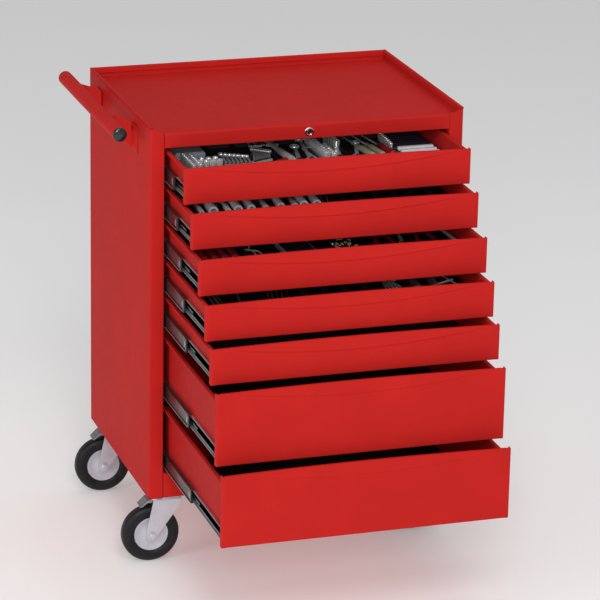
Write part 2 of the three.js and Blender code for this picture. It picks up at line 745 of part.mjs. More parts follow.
function addCasters(chest) {
  addSwivelCaster(chest, 'caster_front_left', swivelInsetY);
  addSwivelCaster(chest, 'caster_rear_left', cabinetDepth - swivelInsetY);
  addFixedCaster(chest, 'caster_front_right', fixedInsetY);
  addFixedCaster(chest, 'caster_rear_right', cabinetDepth - fixedInsetY);
}

// ---------------------------------------------------------------- assembly

// The origin is on the floor under the middle of everything, drawers and handle included.
const chest = new THREE.Group();
const leftmost = handleX - handleRadius;
chest.position.set(-(leftmost + halfWidth) / 2, (widestOpening - cabinetDepth) / 2, 0);
addCabinet(chest);
addHandle(chest);
addLock(chest);
addDrawers(chest);
addCasters(chest);

const model = new THREE.Group();
model.add(chest);

export default model;
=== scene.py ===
import math
import random

import bmesh
import bpy
from mathutils import Matrix, Vector


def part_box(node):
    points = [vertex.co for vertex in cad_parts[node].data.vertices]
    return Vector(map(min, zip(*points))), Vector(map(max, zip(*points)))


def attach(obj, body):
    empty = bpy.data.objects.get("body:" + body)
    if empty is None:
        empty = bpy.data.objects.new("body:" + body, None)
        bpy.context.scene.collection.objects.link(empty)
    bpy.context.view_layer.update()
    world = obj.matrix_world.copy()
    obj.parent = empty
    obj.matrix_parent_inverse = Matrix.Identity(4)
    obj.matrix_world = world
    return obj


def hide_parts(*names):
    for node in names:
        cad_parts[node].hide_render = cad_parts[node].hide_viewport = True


# Rolling tool chest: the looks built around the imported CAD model.
#
# Shapes are written in cabinet millimetres: X from the middle of the cabinet, Y from its front face
# to the back, Z up from the floor. Pieces on a drawer are written in that drawer's own millimetres,
# with Y = 0 at its front face and Z = 0 at the bottom of its front. place() turns both into metres.

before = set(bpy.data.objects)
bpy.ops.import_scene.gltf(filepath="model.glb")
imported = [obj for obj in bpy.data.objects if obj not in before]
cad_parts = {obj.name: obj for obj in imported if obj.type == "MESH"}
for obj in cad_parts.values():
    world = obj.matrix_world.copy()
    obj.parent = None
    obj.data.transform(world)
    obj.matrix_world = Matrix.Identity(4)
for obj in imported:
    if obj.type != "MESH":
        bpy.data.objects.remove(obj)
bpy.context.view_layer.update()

MM = 0.001
TAU = 2 * math.pi


# ------------------------------------------------------------------ sizes taken from the frame

def box_mm(node):
    low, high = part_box(node)
    return low / MM, high / MM


left_low, left_high = box_mm("left_side_panel")
right_high = box_mm("right_side_panel")[1]
base_low, base_high = box_mm("base_panel")
header_low, header_high = box_mm("front_header")
tray_low = box_mm("top_tray")[0]

ORIGIN = Vector(((left_low.x + right_high.x) / 2, base_low.y, 0))
HALF = (right_high.x - left_low.x) / 2
DEPTH = base_high.y - base_low.y
BASE_Z = base_low.z
SHEET = 1.5
GAP = 0.3
LIP_TOP = left_high.z
TRAY_FLOOR = tray_low.z + SHEET
HEADER_TOP = header_high.z
OPENING_TOP = header_low.z
SILL_TOP = base_high.z
POST = left_high.x - left_low.x
POST_RETURN = 25
LIP_DEPTH = 10
HEM_WIDTH = 7
HEM_DROP = 12
EDGE_RETURN = 18
OPENING_HALF = HALF - POST
INNER_HALF = HALF - SHEET - GAP

DRAWERS = range(1, 8)
SLIDE_THICKNESS = 13.2
SLIDE_CENTRE = 22
SLIDE_HEIGHT = 35


# ------------------------------------------------------------------ mesh helpers

def place(points, offset=(0, 0, 0)):
    """Cabinet millimetres, moved by an offset, as metres in the row frame."""
    shift = ORIGIN + Vector(offset)
    return [tuple((Vector(p) + shift) * MM) for p in points]


def join(*parts):
    """Several (vertices, faces) as one."""
    vertices, faces = [], []
    for part_vertices, part_faces in parts:
        start = len(vertices)
        vertices += part_vertices
        faces += [[start + i for i in face] for face in part_faces]
    return vertices, faces


def moved(part, offset):
    vertices, faces = part
    shift = Vector(offset)
    return [tuple(Vector(v) + shift) for v in vertices], faces


def turned_by(part, angle, axis, centre=(0, 0, 0)):
    """A part turned by an angle in degrees about an axis through a centre."""
    vertices, faces = part
    c = Vector(centre)
    rotation = Matrix.Rotation(math.radians(angle), 3, axis)
    return [tuple(rotation @ (Vector(v) - c) + c) for v in vertices], faces


def mirrored(part):
    """A part mirrored across the middle of the cabinet."""
    vertices, faces = part
    return [(-x, y, z) for x, y, z in vertices], [face[::-1] for face in faces]


def block(x, y, z):
    (x0, x1), (y0, y1), (z0, z1) = sorted(x), sorted(y), sorted(z)
    vertices = [(px, py, pz) for pz in (z0, z1) for py in (y0, y1) for px in (x0, x1)]
    faces = [[0, 2, 3, 1], [4, 5, 7, 6], [0, 1, 5, 4], [2, 6, 7, 3], [0, 4, 6, 2], [1, 3, 7, 5]]
    return vertices, faces


def loft(rings, capped=True):
    """Rings of the same number of points joined one to the next, with flat ends."""
    count = len(rings[0])
    vertices = [tuple(p) for ring in rings for p in ring]
    faces = []
    for k in range(len(rings) - 1):
        for i in range(count):
            j = (i + 1) % count
            faces.append([k * count + i, k * count + j, (k + 1) * count + j, (k + 1) * count + i])
    if capped:
        faces.append(list(range(count))[::-1])
        faces.append([(len(rings) - 1) * count + i for i in range(count)])
    return vertices, faces


AXES = {"X": lambda u, v, w: (w, u, v), "Y": lambda u, v, w: (u, w, v), "Z": lambda u, v, w: (u, v, w)}


def prism(outline, start, end, axis):
    """An outline carried along an axis. start and end are values or functions of an outline point."""
    lay = AXES[axis]
    first = [lay(u, v, start(u, v) if callable(start) else start) for u, v in outline]
    last = [lay(u, v, end(u, v) if callable(end) else end) for u, v in outline]
    return loft([first, last])


def lathe(profile, axis="Z", centre=(0, 0, 0), segments=40, close=False):
    """A profile of (radius, distance) points turned about an axis. Ends at radius 0 close it."""
    lay = AXES[axis]
    points = profile + [profile[0]] if close else profile
    vertices, faces = [], []
    rows = []
    for radius, along in points:
        if radius < 1e-6:
            rows.append([len(vertices)] * segments)
            vertices.append(lay(0, 0, along))
        else:
            rows.append([len(vertices) + i for i in range(segments)])
            for i in range(segments):
                a = TAU * i / segments
                vertices.append(lay(radius * math.cos(a), radius * math.sin(a), along))
    for k in range(len(rows) - 1):
        for i in range(segments):
            j = (i + 1) % segments
            ring = [rows[k][i], rows[k][j], rows[k + 1][j], rows[k + 1][i]]
            face = [v for n, v in enumerate(ring) if v != ring[n - 1]]
            if len(face) > 2:
                faces.append(face)
    return moved((vertices, faces), centre)


def rounded(points, radii, steps=4):
    """A path with its inner corners rounded. radii is one value or one for each inner corner."""
    inner = len(points) - 2
    radii = [radii] * inner if isinstance(radii, (int, float)) else radii
    path = [tuple(points[0])]
    for i in range(1, len(points) - 1):
        before, corner, after = (Vector(points[i + k]) for k in (-1, 0, 1))
        path += corner_arc(before, corner, after, radii[i - 1], steps)
    path.append(tuple(points[-1]))
    return path


def corner_arc(before, corner, after, radius, steps):
    into = (before - corner).normalized()
    out = (after - corner).normalized()
    half = into.angle(out) / 2
    if radius <= 0 or half > math.pi / 2 - 0.01:
        return [tuple(corner)]
    reach = min(radius / math.tan(half), (before - corner).length * 0.49, (after - corner).length * 0.49)
    radius = reach * math.tan(half)
    centre = corner + (into + out).normalized() * (radius / math.sin(half))
    start = corner + into * reach - centre
    sweep = math.pi - 2 * half
    turn = 1 if into.x * out.y - into.y * out.x < 0 else -1
    arc = []
    for k in range(steps + 1):
        a = turn * sweep * k / steps
        arc.append((centre.x + start.x * math.cos(a) - start.y * math.sin(a),
                    centre.y + start.x * math.sin(a) + start.y * math.cos(a)))
    return arc


def rounded_outline(points, radii, steps=4):
    """A closed outline with every corner rounded."""
    count = len(points)
    radii = [radii] * count if isinstance(radii, (int, float)) else radii
    outline = []
    for i in range(count):
        before, corner, after = (Vector(points[(i + k) % count]) for k in (-1, 0, 1))
        outline += corner_arc(before, corner, after, radii[i], steps)
    return outline


def folded(path, thickness, radii, steps=5):
    """The closed outline of a folded sheet: the path is its outer line, the sheet lies to its left."""
    outer = rounded(path, radii, steps)
    inner = []
    for i, point in enumerate(outer):
        before = Vector(outer[max(i - 1, 0)])
        after = Vector(outer[min(i + 1, len(outer) - 1)])
        here = Vector(point)
        one = (here - before).normalized() if i else (after - here).normalized()
        two = (after - here).normalized() if i < len(outer) - 1 else one
        along = (one + two).normalized()
        share = thickness / max(along.dot(two), 0.3)
        inner.append((here.x - along.y * share, here.y + along.x * share))
    return outer + inner[::-1]


def thick_grid(front, back):
    """A sheet between two grids of points, given as rows of the same size."""
    rows, columns = len(front), len(front[0])
    layer = rows * columns
    vertices = [tuple(p) for grid in (front, back) for row in grid for p in row]
    faces = []

    def at(k, row, column):
        return k * layer + row * columns + column

    for row in range(rows - 1):
        for column in range(columns - 1):
            quad = [(row, column), (row, column + 1), (row + 1, column + 1), (row + 1, column)]
            faces.append([at(0, r, c) for r, c in quad])
            faces.append([at(1, r, c) for r, c in quad[::-1]])
    border = [(0, c) for c in range(columns - 1)] + [(r, columns - 1) for r in range(rows - 1)]
    border += [(rows - 1, c) for c in range(columns - 1, 0, -1)] + [(r, 0) for r in range(rows - 1, 0, -1)]
    for i, (r, c) in enumerate(border):
        r2, c2 = border[(i + 1) % len(border)]
        faces.append([at(0, r2, c2), at(0, r, c), at(1, r, c), at(1, r2, c2)])
    return vertices, faces


def swept(points, radius, segments=12, closed_ends=True):
    """A round bar along a line of points."""
    line = [Vector(p) for p in points]
    rings = []
    side = None
    for i, p in enumerate(line):
        along = (line[min(i + 1, len(line) - 1)] - line[max(i - 1, 0)]).normalized()
        if side is None:
            side = along.orthogonal().normalized()
        side = (side - along * side.dot(along)).normalized()
        up = along.cross(side)
        r = radius(i / (len(line) - 1)) if callable(radius) else radius
        rings.append([p + r * (side * math.cos(TAU * k / segments) + up * math.sin(TAU * k / segments))
                      for k in range(segments)])
    return loft(rings, closed_ends)


def bolt_head(centre, across, height, axis="Z", direction=1):
    """A hexagon head on a washer."""
    washer = lathe([(0, 0), (across * 0.72, 0), (across * 0.72, 1.2), (0, 1.2)], axis, (0, 0, 0), 24)
    flat = across / 2 / math.cos(math.pi / 6)
    head = lathe([(0, 1.2), (flat, 1.2), (flat, height * 0.85), (flat * 0.86, height), (0, height)], axis,
                 (0, 0, 0), 6)
    both = join(washer, head)
    if direction < 0:
        vertices, faces = both
        flip = {"X": (-1, 1, 1), "Y": (1, -1, 1), "Z": (1, 1, -1)}[axis]
        vertices = [tuple(v[k] * flip[k] for k in range(3)) for v in vertices]
        both = vertices, [face[::-1] for face in faces]
    return moved(both, centre)


def dome(centre, radius, height, axis="Z", direction=1, steps=5, segments=20):
    """A low round head, such as a rivet's."""
    profile = [(0, 0)]
    for k in range(steps + 1):
        a = math.pi / 2 * k / steps
        profile.append((radius * math.cos(a), direction * height * math.sin(a)))
    profile[-1] = (0, direction * height)
    return lathe(profile, axis, centre, segments)


def piece(name, parts, body, finish, replaces=(), offset=(0, 0, 0), bevel=0.35, smooth=32):
    """One object made of one or more parts, riding on a CAD body, in a finish."""
    vertices, faces = join(*parts) if isinstance(parts, list) else parts
    mesh = bpy.data.meshes.new(name)
    mesh.from_pydata(place(vertices, offset), [], faces)
    mesh.validate()
    tidy_normals(mesh)
    mesh.polygons.foreach_set("use_smooth", [True] * len(mesh.polygons))
    mesh.set_sharp_from_angle(angle=math.radians(smooth))
    material, slot_name = FINISHES[finish]
    mesh.materials.append(material)
    obj = bpy.data.objects.new(name, mesh)
    bpy.context.scene.collection.objects.link(obj)
    if bevel:
        edge = obj.modifiers.new("Edges", "BEVEL")
        edge.width = bevel * MM
        edge.segments = 2
        edge.limit_method = "ANGLE"
        edge.angle_limit = math.radians(50)
        edge.harden_normals = True
        edge.use_clamp_overlap = True
    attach(obj, body)
    if replaces:
        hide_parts(*replaces)
    return obj


def tidy_normals(mesh):
    """Turns every closed shell's faces outward."""
    work = bmesh.new()
    work.from_mesh(mesh)
    bmesh.ops.recalc_face_normals(work, faces=work.faces)
    work.to_mesh(mesh)
    work.free()


def reshape(obj, parts, operation):
    """Cuts an object with a solid, or keeps only what lies in the solid, and leaves a plain mesh."""
    mesh = bpy.data.meshes.new("cutter")
    vertices, faces = join(*parts)
    mesh.from_pydata(place(vertices, obj["offset"]), [], faces)
    tidy_normals(mesh)
    cutter = bpy.data.objects.new("cutter", mesh)
    bpy.context.scene.collection.objects.link(cutter)
    step = obj.modifiers.new("Cut", "BOOLEAN")
    step.operation = operation
    step.solver = "EXACT"
    step.use_self = True
    step.object = cutter
    while obj.modifiers[0] != step:
        obj.modifiers.move(obj.modifiers.find(step.name), 0)
    edges = [m for m in obj.modifiers if m != step]
    for modifier in edges:
        modifier.show_viewport = False
    graph = bpy.context.evaluated_depsgraph_get()
    result = bpy.data.meshes.new_from_object(obj.evaluated_get(graph))
    obj.modifiers.remove(step)
    for modifier in edges:
        modifier.show_viewport = True
    obj.data = result
    result.polygons.foreach_set("use_smooth", [True] * len(result.polygons))
    result.set_sharp_from_angle(angle=math.radians(32))
    bpy.data.objects.remove(cutter)
    return obj


# ------------------------------------------------------------------ materials

def link(tree, source, output, target, socket):
    tree.links.new(source.outputs[output], target.inputs[socket])


def node(tree, kind, **values):
    made = tree.nodes.new(kind)
    for key, value in values.items():
        if hasattr(made, key):
            setattr(made, key, value)
        else:
            made.inputs[key.replace("_", " ")].default_value = value
    return made


def finish(name, color, roughness, metallic=0.0, shade=0.9, spread=0.05, grain=700, depth=0.02,
           stretch=(1, 1, 1), coat=0.0, coat_roughness=0.15, specular=0.5, patch=9, shine=None):
    """A procedural finish: broad colour drift, drifting roughness, and a fine surface grain."""
    material = bpy.data.materials.new(name)
    material.use_nodes = True
    tree = material.node_tree
    shader = tree.nodes["Principled BSDF"]
    shader.inputs["Metallic"].default_value = metallic
    shader.inputs["Specular IOR Level"].default_value = specular
    shader.inputs["Coat Weight"].default_value = coat
    shader.inputs["Coat Roughness"].default_value = coat_roughness
    where = node(tree, "ShaderNodeTexCoord")
    scale = node(tree, "ShaderNodeMapping")
    scale.inputs["Scale"].default_value = stretch
    link(tree, where, "Object", scale, "Vector")

    drift = node(tree, "ShaderNodeTexNoise", Scale=patch, Detail=5.0, Roughness=0.55)
    link(tree, where, "Object", drift, "Vector")
    tint = node(tree, "ShaderNodeValToRGB")
    tint.color_ramp.elements[0].position = 0.35
    tint.color_ramp.elements[1].position = 0.65
    tint.color_ramp.elements[0].color = [c * shade for c in color] + [1]
    tint.color_ramp.elements[1].color = list(shine or color) + [1]
    link(tree, drift, "Fac", tint, "Fac")
    link(tree, tint, "Color", shader, "Base Color")

    rub = node(tree, "ShaderNodeTexNoise", Scale=grain * 0.12, Detail=6.0, Roughness=0.6)
    link(tree, scale, "Vector", rub, "Vector")
    level = node(tree, "ShaderNodeMapRange")
    level.inputs["From Min"].default_value = 0.3
    level.inputs["From Max"].default_value = 0.7
    level.inputs["To Min"].default_value = max(roughness - spread, 0.02)
    level.inputs["To Max"].default_value = min(roughness + spread, 1.0)
    link(tree, rub, "Fac", level, "Value")
    link(tree, level, "Result", shader, "Roughness")

    skin = node(tree, "ShaderNodeTexNoise", Scale=grain, Detail=2.0, Roughness=0.5)
    link(tree, scale, "Vector", skin, "Vector")
    bump = node(tree, "ShaderNodeBump", Strength=0.6, Distance=depth * MM)
    link(tree, skin, "Fac", bump, "Height")
    link(tree, bump, "Normal", shader, "Normal")
    return material


RED = (0.53, 0.018, 0.015)
# A slightly darker copy of the red paint, used on the drawer boxes: painted shade for their insides.
SHADED_INSIDE_RED = (0.50, 0.018, 0.016)
RUBBER = (0.007, 0.007, 0.008)
FINISHES = {
    "paint": (finish("powder_coat_red", RED, 0.52, shade=0.93, spread=0.04, grain=520, depth=0.05,
                     specular=0.04), "red_paint"),
    # Darker copy of the red powder coat for the drawer boxes: painted shade.
    "paint_inside": (finish("powder_coat_red_shaded_inside", SHADED_INSIDE_RED, 0.55, shade=0.9, grain=520, depth=0.05,
                            specular=0.04), "red_paint_inside"),
    "zinc": (finish("zinc_strip", (0.50, 0.51, 0.54), 0.3, 0.6, shade=0.8, spread=0.08, grain=900,
                    depth=0.01, stretch=(1, 0.06, 1), patch=30), "zinc_slide"),
    # A much darker copy of the slide zinc for the rack and middle members inside the cabinet: painted shade.
    "zinc_shaded": (finish("zinc_shaded_dark", (0.13, 0.125, 0.13), 0.3, 0.85, shade=0.6, spread=0.1, grain=900,
                         depth=0.02, stretch=(1, 0.06, 1), patch=30), "zinc_slide"),
    "zinc_satin": (finish("zinc_pressing", (0.64, 0.66, 0.71), 0.4, 0.6, shade=0.9, spread=0.08,
                          grain=420, depth=0.03, patch=40), "zinc_caster"),
    "pedal": (finish("dull_plate", (0.40, 0.41, 0.43), 0.4, 0.9, shade=0.75, spread=0.1, grain=500,
                     depth=0.03, patch=60), "pedal_steel"),
    "chrome": (finish("chrome_plate", (0.82, 0.82, 0.84), 0.09, 1.0, shade=0.94, spread=0.03, grain=300,
                      depth=0.004, patch=50), "chrome"),
    "tyre": (finish("tyre_rubber", RUBBER, 0.48, shade=0.7, spread=0.1, grain=900, depth=0.03,
                    patch=60, shine=(0.012, 0.012, 0.014), specular=0.3), "tyre"),
    "rim": (finish("rim_moulding", (0.53, 0.54, 0.59), 0.42, shade=0.93, spread=0.06, grain=500,
                   depth=0.02, patch=50), "rim_plastic"),
    "black": (finish("black_moulding", (0.012, 0.012, 0.014), 0.22, shade=0.8, spread=0.06, grain=800,
                     depth=0.01, patch=80, shine=(0.02, 0.02, 0.024)), "black_plastic"),
    "mat": (finish("drawer_rubber", (0.014, 0.013, 0.013), 0.7, shade=0.7, spread=0.1, grain=900,
                   depth=0.12, patch=40), "drawer_mat"),
    "tray": (finish("tool_tray", (0.012, 0.012, 0.014), 0.42, shade=0.75, spread=0.1, grain=1400,
                    depth=0.04, patch=60), "tray_plastic"),
    "tool": (finish("tool_chrome_satin", (0.88, 0.89, 0.91), 0.2, 0.6, shade=0.85, spread=0.06,
                    grain=700, depth=0.006, patch=80), "tool_chrome"),
    "grip": (finish("tool_grip", (0.30, 0.015, 0.025), 0.35, shade=0.7, spread=0.08, grain=900,
                    depth=0.03, patch=60), "tool_grip_red"),
    # Chrome painted near-white and almost without metal: a painted glint for the bright chrome tools.
    "bright": (finish("tool_chrome_painted_glint", (0.93, 0.93, 0.97), 0.35, 0.05, shade=0.9, spread=0.06, grain=700,
                      depth=0.006, patch=60), "tool_chrome"),
    "dull": (finish("tool_steel_dull", (0.34, 0.35, 0.38), 0.4, 0.8, shade=0.8, spread=0.08, grain=700,
                    depth=0.01, patch=60), "tool_chrome"),
    "olive": (finish("tool_grip_olive", (0.30, 0.30, 0.20), 0.45, shade=0.8, spread=0.08, grain=900,
                     depth=0.03, patch=60), "tool_pouch_grey"),
    "yellow": (finish("tool_grip_yellow", (0.75, 0.55, 0.05), 0.45, shade=0.8, spread=0.08, grain=900,
                      depth=0.03, patch=60), "tool_pouch_grey"),
    "dark": (finish("tool_grip_dark", (0.03, 0.025, 0.04), 0.4, shade=0.8, spread=0.08, grain=900,
                    depth=0.03, patch=60), "tray_plastic"),
    "case": (finish("tool_case_dark", (0.022, 0.018, 0.028), 0.35, shade=0.8, spread=0.08, grain=900,
                    depth=0.03, patch=60), "tray_plastic"),
    "grey_case": (finish("grey_case", (0.40, 0.44, 0.52), 0.5, shade=0.85, spread=0.08, grain=900,
                         depth=0.03, patch=40), "tool_pouch_grey"),
}


# ------------------------------------------------------------------ cabinet shell

HEM_ROLL = 2.4  # how far below the lip's top its hem begins
PANEL_FOOT = BASE_Z + 2 + GAP
TRAY_UNDER = TRAY_FLOOR - SHEET


def panel_top(x, y):
    """The top edge of a side sheet: level on the side, falling across the post's face."""
    inward = x + HALF
    if inward > POST - 2.5 and y > 3:
        return TRAY_UNDER - GAP
    side = LIP_TOP - HEM_ROLL
    across = min(max((inward - SHEET) / (POST - SHEET), 0), 1) if y < 6 else 0
    return side - across * (side - HEADER_TOP)


def side_sheet():
    section = folded([(-HALF, DEPTH), (-HALF, 0), (POST - HALF, 0), (POST - HALF, POST_RETURN)],
                     SHEET, [4.5, 3])
    skin = prism(section, PANEL_FOOT, panel_top, "Z")
    hem_x = HEM_WIDTH - HALF
    hem = folded([(hem_x, LIP_TOP - HEM_DROP), (hem_x, LIP_TOP), (-HALF, LIP_TOP), (-HALF, LIP_TOP - 4)],
                 SHEET, 2.2)
    return [skin, prism(hem, 0.2, DEPTH, "Y")]


def rivets(points, axis, direction, radius=3.2, height=1.0):
    return [dome(p, radius, height, axis, direction, 3, 14) for p in points]


def build_shell():
    left = side_sheet()
    piece("left_side_panel_fine", left, "cabinet", "paint", ["left_side_panel"])
    piece("right_side_panel_fine", [mirrored(join(*left))], "cabinet", "paint", ["right_side_panel"])

    hem_half = HALF - HEM_WIDTH - GAP
    foot = [(PANEL_FOOT, LIP_TOP - HEM_DROP - GAP)]
    skin = prism([(x, z) for x, z in rectangle(INNER_HALF, *foot[0])], DEPTH - SHEET, DEPTH, "Y")
    hem = folded([(DEPTH, LIP_TOP - HEM_DROP - 1), (DEPTH, LIP_TOP), (DEPTH - HEM_WIDTH, LIP_TOP),
                  (DEPTH - HEM_WIDTH, LIP_TOP - HEM_DROP)], SHEET, 2.2)
    columns = [s * (INNER_HALF - 9) for s in (-1, 1)]
    heights = [PANEL_FOOT + 30 + k * 75 for k in range(11)]
    studs = rivets([(x, DEPTH - 0.9, z) for x in columns for z in heights], "Y", 1)
    piece("back_panel_fine", [skin, prism(hem, -hem_half, hem_half, "X"), *studs], "cabinet", "paint",
          ["back_panel"])

    sill_half = OPENING_HALF - 0.02
    pan = folded([(EDGE_RETURN, SILL_TOP), (0, SILL_TOP), (0, BASE_Z), (DEPTH, BASE_Z)], SHEET, [2.5, 3])
    wings = [block((s * sill_half, s * HALF), (0, DEPTH), (BASE_Z, BASE_Z + 2)) for s in (-1, 1)]
    piece("base_panel_fine", [prism(pan, -sill_half, sill_half, "X"), *wings], "cabinet", "paint",
          ["base_panel"])

    rail = folded([(LIP_DEPTH, TRAY_UNDER), (LIP_DEPTH, HEADER_TOP), (0, HEADER_TOP), (0, OPENING_TOP),
                   (EDGE_RETURN, OPENING_TOP)], SHEET, [3, 6, 2.5], 7)
    end = folded([(LIP_DEPTH, TRAY_UNDER), (LIP_DEPTH, HEADER_TOP), (SHEET + GAP, HEADER_TOP)], SHEET, 3)
    ends = [prism(end, s * sill_half, s * INNER_HALF, "X") for s in (-1, 1)]
    piece("front_header_fine", [prism(rail, -sill_half, sill_half, "X"), *ends], "cabinet", "paint",
          ["front_header"])

    top = LIP_TOP - SHEET - GAP
    pan = folded([(-INNER_HALF, top), (-INNER_HALF, TRAY_UNDER), (INNER_HALF, TRAY_UNDER),
                  (INNER_HALF, top)], SHEET, 4)
    rear = DEPTH - SHEET - GAP
    upstand = folded([(rear - 14, TRAY_UNDER + 0.05), (rear, TRAY_UNDER + 0.05), (rear, top)], SHEET, 4)
    piece("top_tray_fine", [prism(pan, LIP_DEPTH + GAP, rear - 0.1, "Y"),
                            prism(upstand, -hem_half, hem_half, "X")], "cabinet", "paint", ["top_tray"])


def rectangle(half, low, high):
    return [(-half, low), (half, low), (half, high), (-half, high)]


# ------------------------------------------------------------------ side handle

def build_handle():
    low, high = (v - ORIGIN for v in box_mm("handle_tube"))
    axis_x, axis_z = (low.x + high.x) / 2, (low.z + high.z) / 2
    radius = (high.x - low.x) / 2
    tube_wall = 1.8
    bore = radius - tube_wall
    tube = lathe([(bore, low.y), (radius - 0.4, low.y), (radius, low.y + 0.4), (radius, high.y - 0.4),
                  (radius - 0.4, high.y), (bore, high.y)], "Y", (axis_x, 0, axis_z), 64, close=True)
    piece("handle_tube_fine", tube, "cabinet", "paint", ["handle_tube"], bevel=0)
    for end, y, out in (("front", low.y, -1), ("rear", high.y, 1)):
        profile = [(0, y - out * 18), (bore - GAP, y - out * 18), (bore - GAP, y + out * GAP)]
        cap = [(radius, y + out * GAP), (radius, y + out * 1.4)]
        for k in range(1, 9):
            a = math.pi / 2 * k / 8
            cap.append((radius * math.cos(a), y + out * (1.4 + 4.6 * math.sin(a))))
        cap[-1] = (0, y + out * 6)
        piece(f"handle_plug_{end}_fine", lathe(profile + cap, "Y", (axis_x, 0, axis_z), 48), "cabinet",
              "black", [f"handle_plug_{end}"], bevel=0)
        build_bracket(end, axis_x, axis_z, radius)


def build_bracket(end, axis_x, axis_z, radius):
    """A plate coped round the tube, folded to a flange on the panel that runs away from it."""
    name = f"handle_bracket_{end}"
    low, high = (v - ORIGIN for v in box_mm(name))
    toward = -1 if end == "front" else 1
    sheet = 2.5
    plate_y = (high.y - sheet, high.y) if toward < 0 else (low.y, low.y + sheet)
    panel = -HALF - GAP
    bottom = low.z
    flange_top = LIP_TOP - 25
    cope = radius + GAP
    arc = []
    for k in range(13):
        a = math.radians(50 - 103 * k / 12)
        arc.append((axis_x + cope * math.cos(a), axis_z + cope * math.sin(a)))
    bend = [(panel - 26, flange_top + 12)]
    corner = corner_arc(Vector((panel, flange_top)), Vector(bend[0]), Vector(arc[0]), 10, 4)
    outline = [(panel, bottom), (panel, flange_top)] + corner + arc
    plate = prism(outline, *plate_y, "Y")
    far = low.y if toward < 0 else high.y
    near = plate_y[1] if toward < 0 else plate_y[0]
    ears = rounded_outline([(near, bottom), (near, flange_top), (far, flange_top), (far, bottom)],
                           [0.5, 0.5, 6, 6])
    flange = prism(ears, panel - sheet, panel, "X")
    screw_y = far - toward * 13
    screws = [dome((panel - sheet + 0.1, screw_y, z), 5, 2.2, "X", -1)
              for z in (flange_top - 14, bottom + 14)]
    bracket = piece(f"{name}_fine", [plate, flange, *screws], "cabinet", "paint", [name], bevel=0.5)
    # A thin black piece laid on the flange: painted shade of a relief slot, not a cut hole.
    slot_y = near + toward * 8
    slot = rounded_outline([(slot_y - 4, flange_top - 15), (slot_y + 4, flange_top - 15),
                            (slot_y + 4, flange_top - 4), (slot_y - 4, flange_top - 4)], 3)
    piece(f"{name}_slot", prism(slot, panel - sheet - 0.25, panel - sheet + 0.4, "X"), "cabinet", "black",
          bevel=0)
    return bracket


# ------------------------------------------------------------------ lock

def build_lock():
    low, high = (v - ORIGIN for v in box_mm("lock_barrel"))
    centre_z = (low.z + high.z) / 2
    flange = (high.x - low.x) / 2
    body, core = 7, 5.4
    profile = [(core + GAP, low.y + 0.5), (core + 1.1, low.y), (flange - 1.6, low.y)]
    for k in range(1, 6):
        a = math.pi / 2 * k / 5
        profile.append((flange - 1.6 + 1.6 * math.sin(a), low.y + 1.6 * (1 - math.cos(a))))
    profile += [(flange, -GAP), (body, -GAP), (body, high.y), (core + GAP, high.y)]
    piece("lock_barrel_fine", lathe(profile, "Y", (0, 0, centre_z), 56, close=True), "cabinet", "chrome",
          ["lock_barrel"], bevel=0)
    core_end = high.y + 2.8
    core_line = [(0, -1.6), (core - 0.5, -1.6), (core, -1.1), (core, core_end), (0, core_end)]
    cylinder = lathe(core_line, "Y", (0, 0, centre_z), 40)
    cam = prism(rounded_outline([(-4, centre_z - 4), (12, centre_z - 4), (12, centre_z + 4),
                                 (-4, centre_z + 4)], 3.5), high.y + GAP, high.y + 2.8, "Y")
    obj = piece("lock_core_fine", [cylinder, cam], "lock_core", "chrome", ["lock_core"], bevel=0)
    obj["offset"] = (0, 0, 0)
    slot = prism(rounded_outline([(-0.8, centre_z - 3.6), (0.8, centre_z - 3.6), (0.8, centre_z + 3.6),
                                  (-0.8, centre_z + 3.6)], 0.7), -2.5, 8, "Y")
    reshape(obj, [slot], "DIFFERENCE")
    # A black filler inside the keyway: painted shade for the slot's depth.
    shadow = prism(rounded_outline([(-0.9, centre_z - 3.7), (0.9, centre_z - 3.7), (0.9, centre_z + 3.7),
                                    (-0.9, centre_z + 3.7)], 0.8), -0.5, 7.5, "Y")
    piece("lock_keyway_shade", shadow, "lock_core", "black", bevel=0)
    keep_cad("lock_bar", "zinc")


def keep_cad(name, finish_name, width=0.5):
    """A CAD node whose shape is right stays, with softened edges and its own finish."""
    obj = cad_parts[name]
    material, slot_name = FINISHES[finish_name]
    obj.data.materials.clear()
    obj.data.materials.append(material)
    edge = obj.modifiers.new("Edges", "BEVEL")
    edge.width = width * MM
    edge.segments = 2
    edge.limit_method = "ANGLE"
    edge.angle_limit = math.radians(50)


# ------------------------------------------------------------------ drawers

DISH_COLUMNS = 44
PULL_HEIGHT = 23
PULL_SETBACK = 9
PULL_END_MARGIN = 22
FRONT_DEPTH = 12
CORNER_RADIUS = 3
TOP_HEM = 6
CREASE_DEPTH = 1.3
BOX_LENGTH = 448
SHALLOW_RIM_DROP = 5
DEEP_RIM_DROP = 18
DEEP_FRONT = 100  # fronts taller than this belong to deep drawers
HOOK_DROP = 22
BOX_RIM_WIDTH = 8
BOX_FLOOR_RISE = 6


def offset_line(path, distance):
    """A line of 2D points moved sideways, to its right."""
    moved_line = []
    for i, point in enumerate(path):
        before = Vector(path[max(i - 1, 0)])
        after = Vector(path[min(i + 1, len(path) - 1)])
        here = Vector(point)
        one = (here - before).normalized() if i else (after - here).normalized()
        two = (after - here).normalized() if i < len(path) - 1 else one
        along = (one + two).normalized()
        share = distance / max(along.dot(two), 0.35)
        moved_line.append((here.x + along.y * share, here.y - along.x * share))
    return moved_line


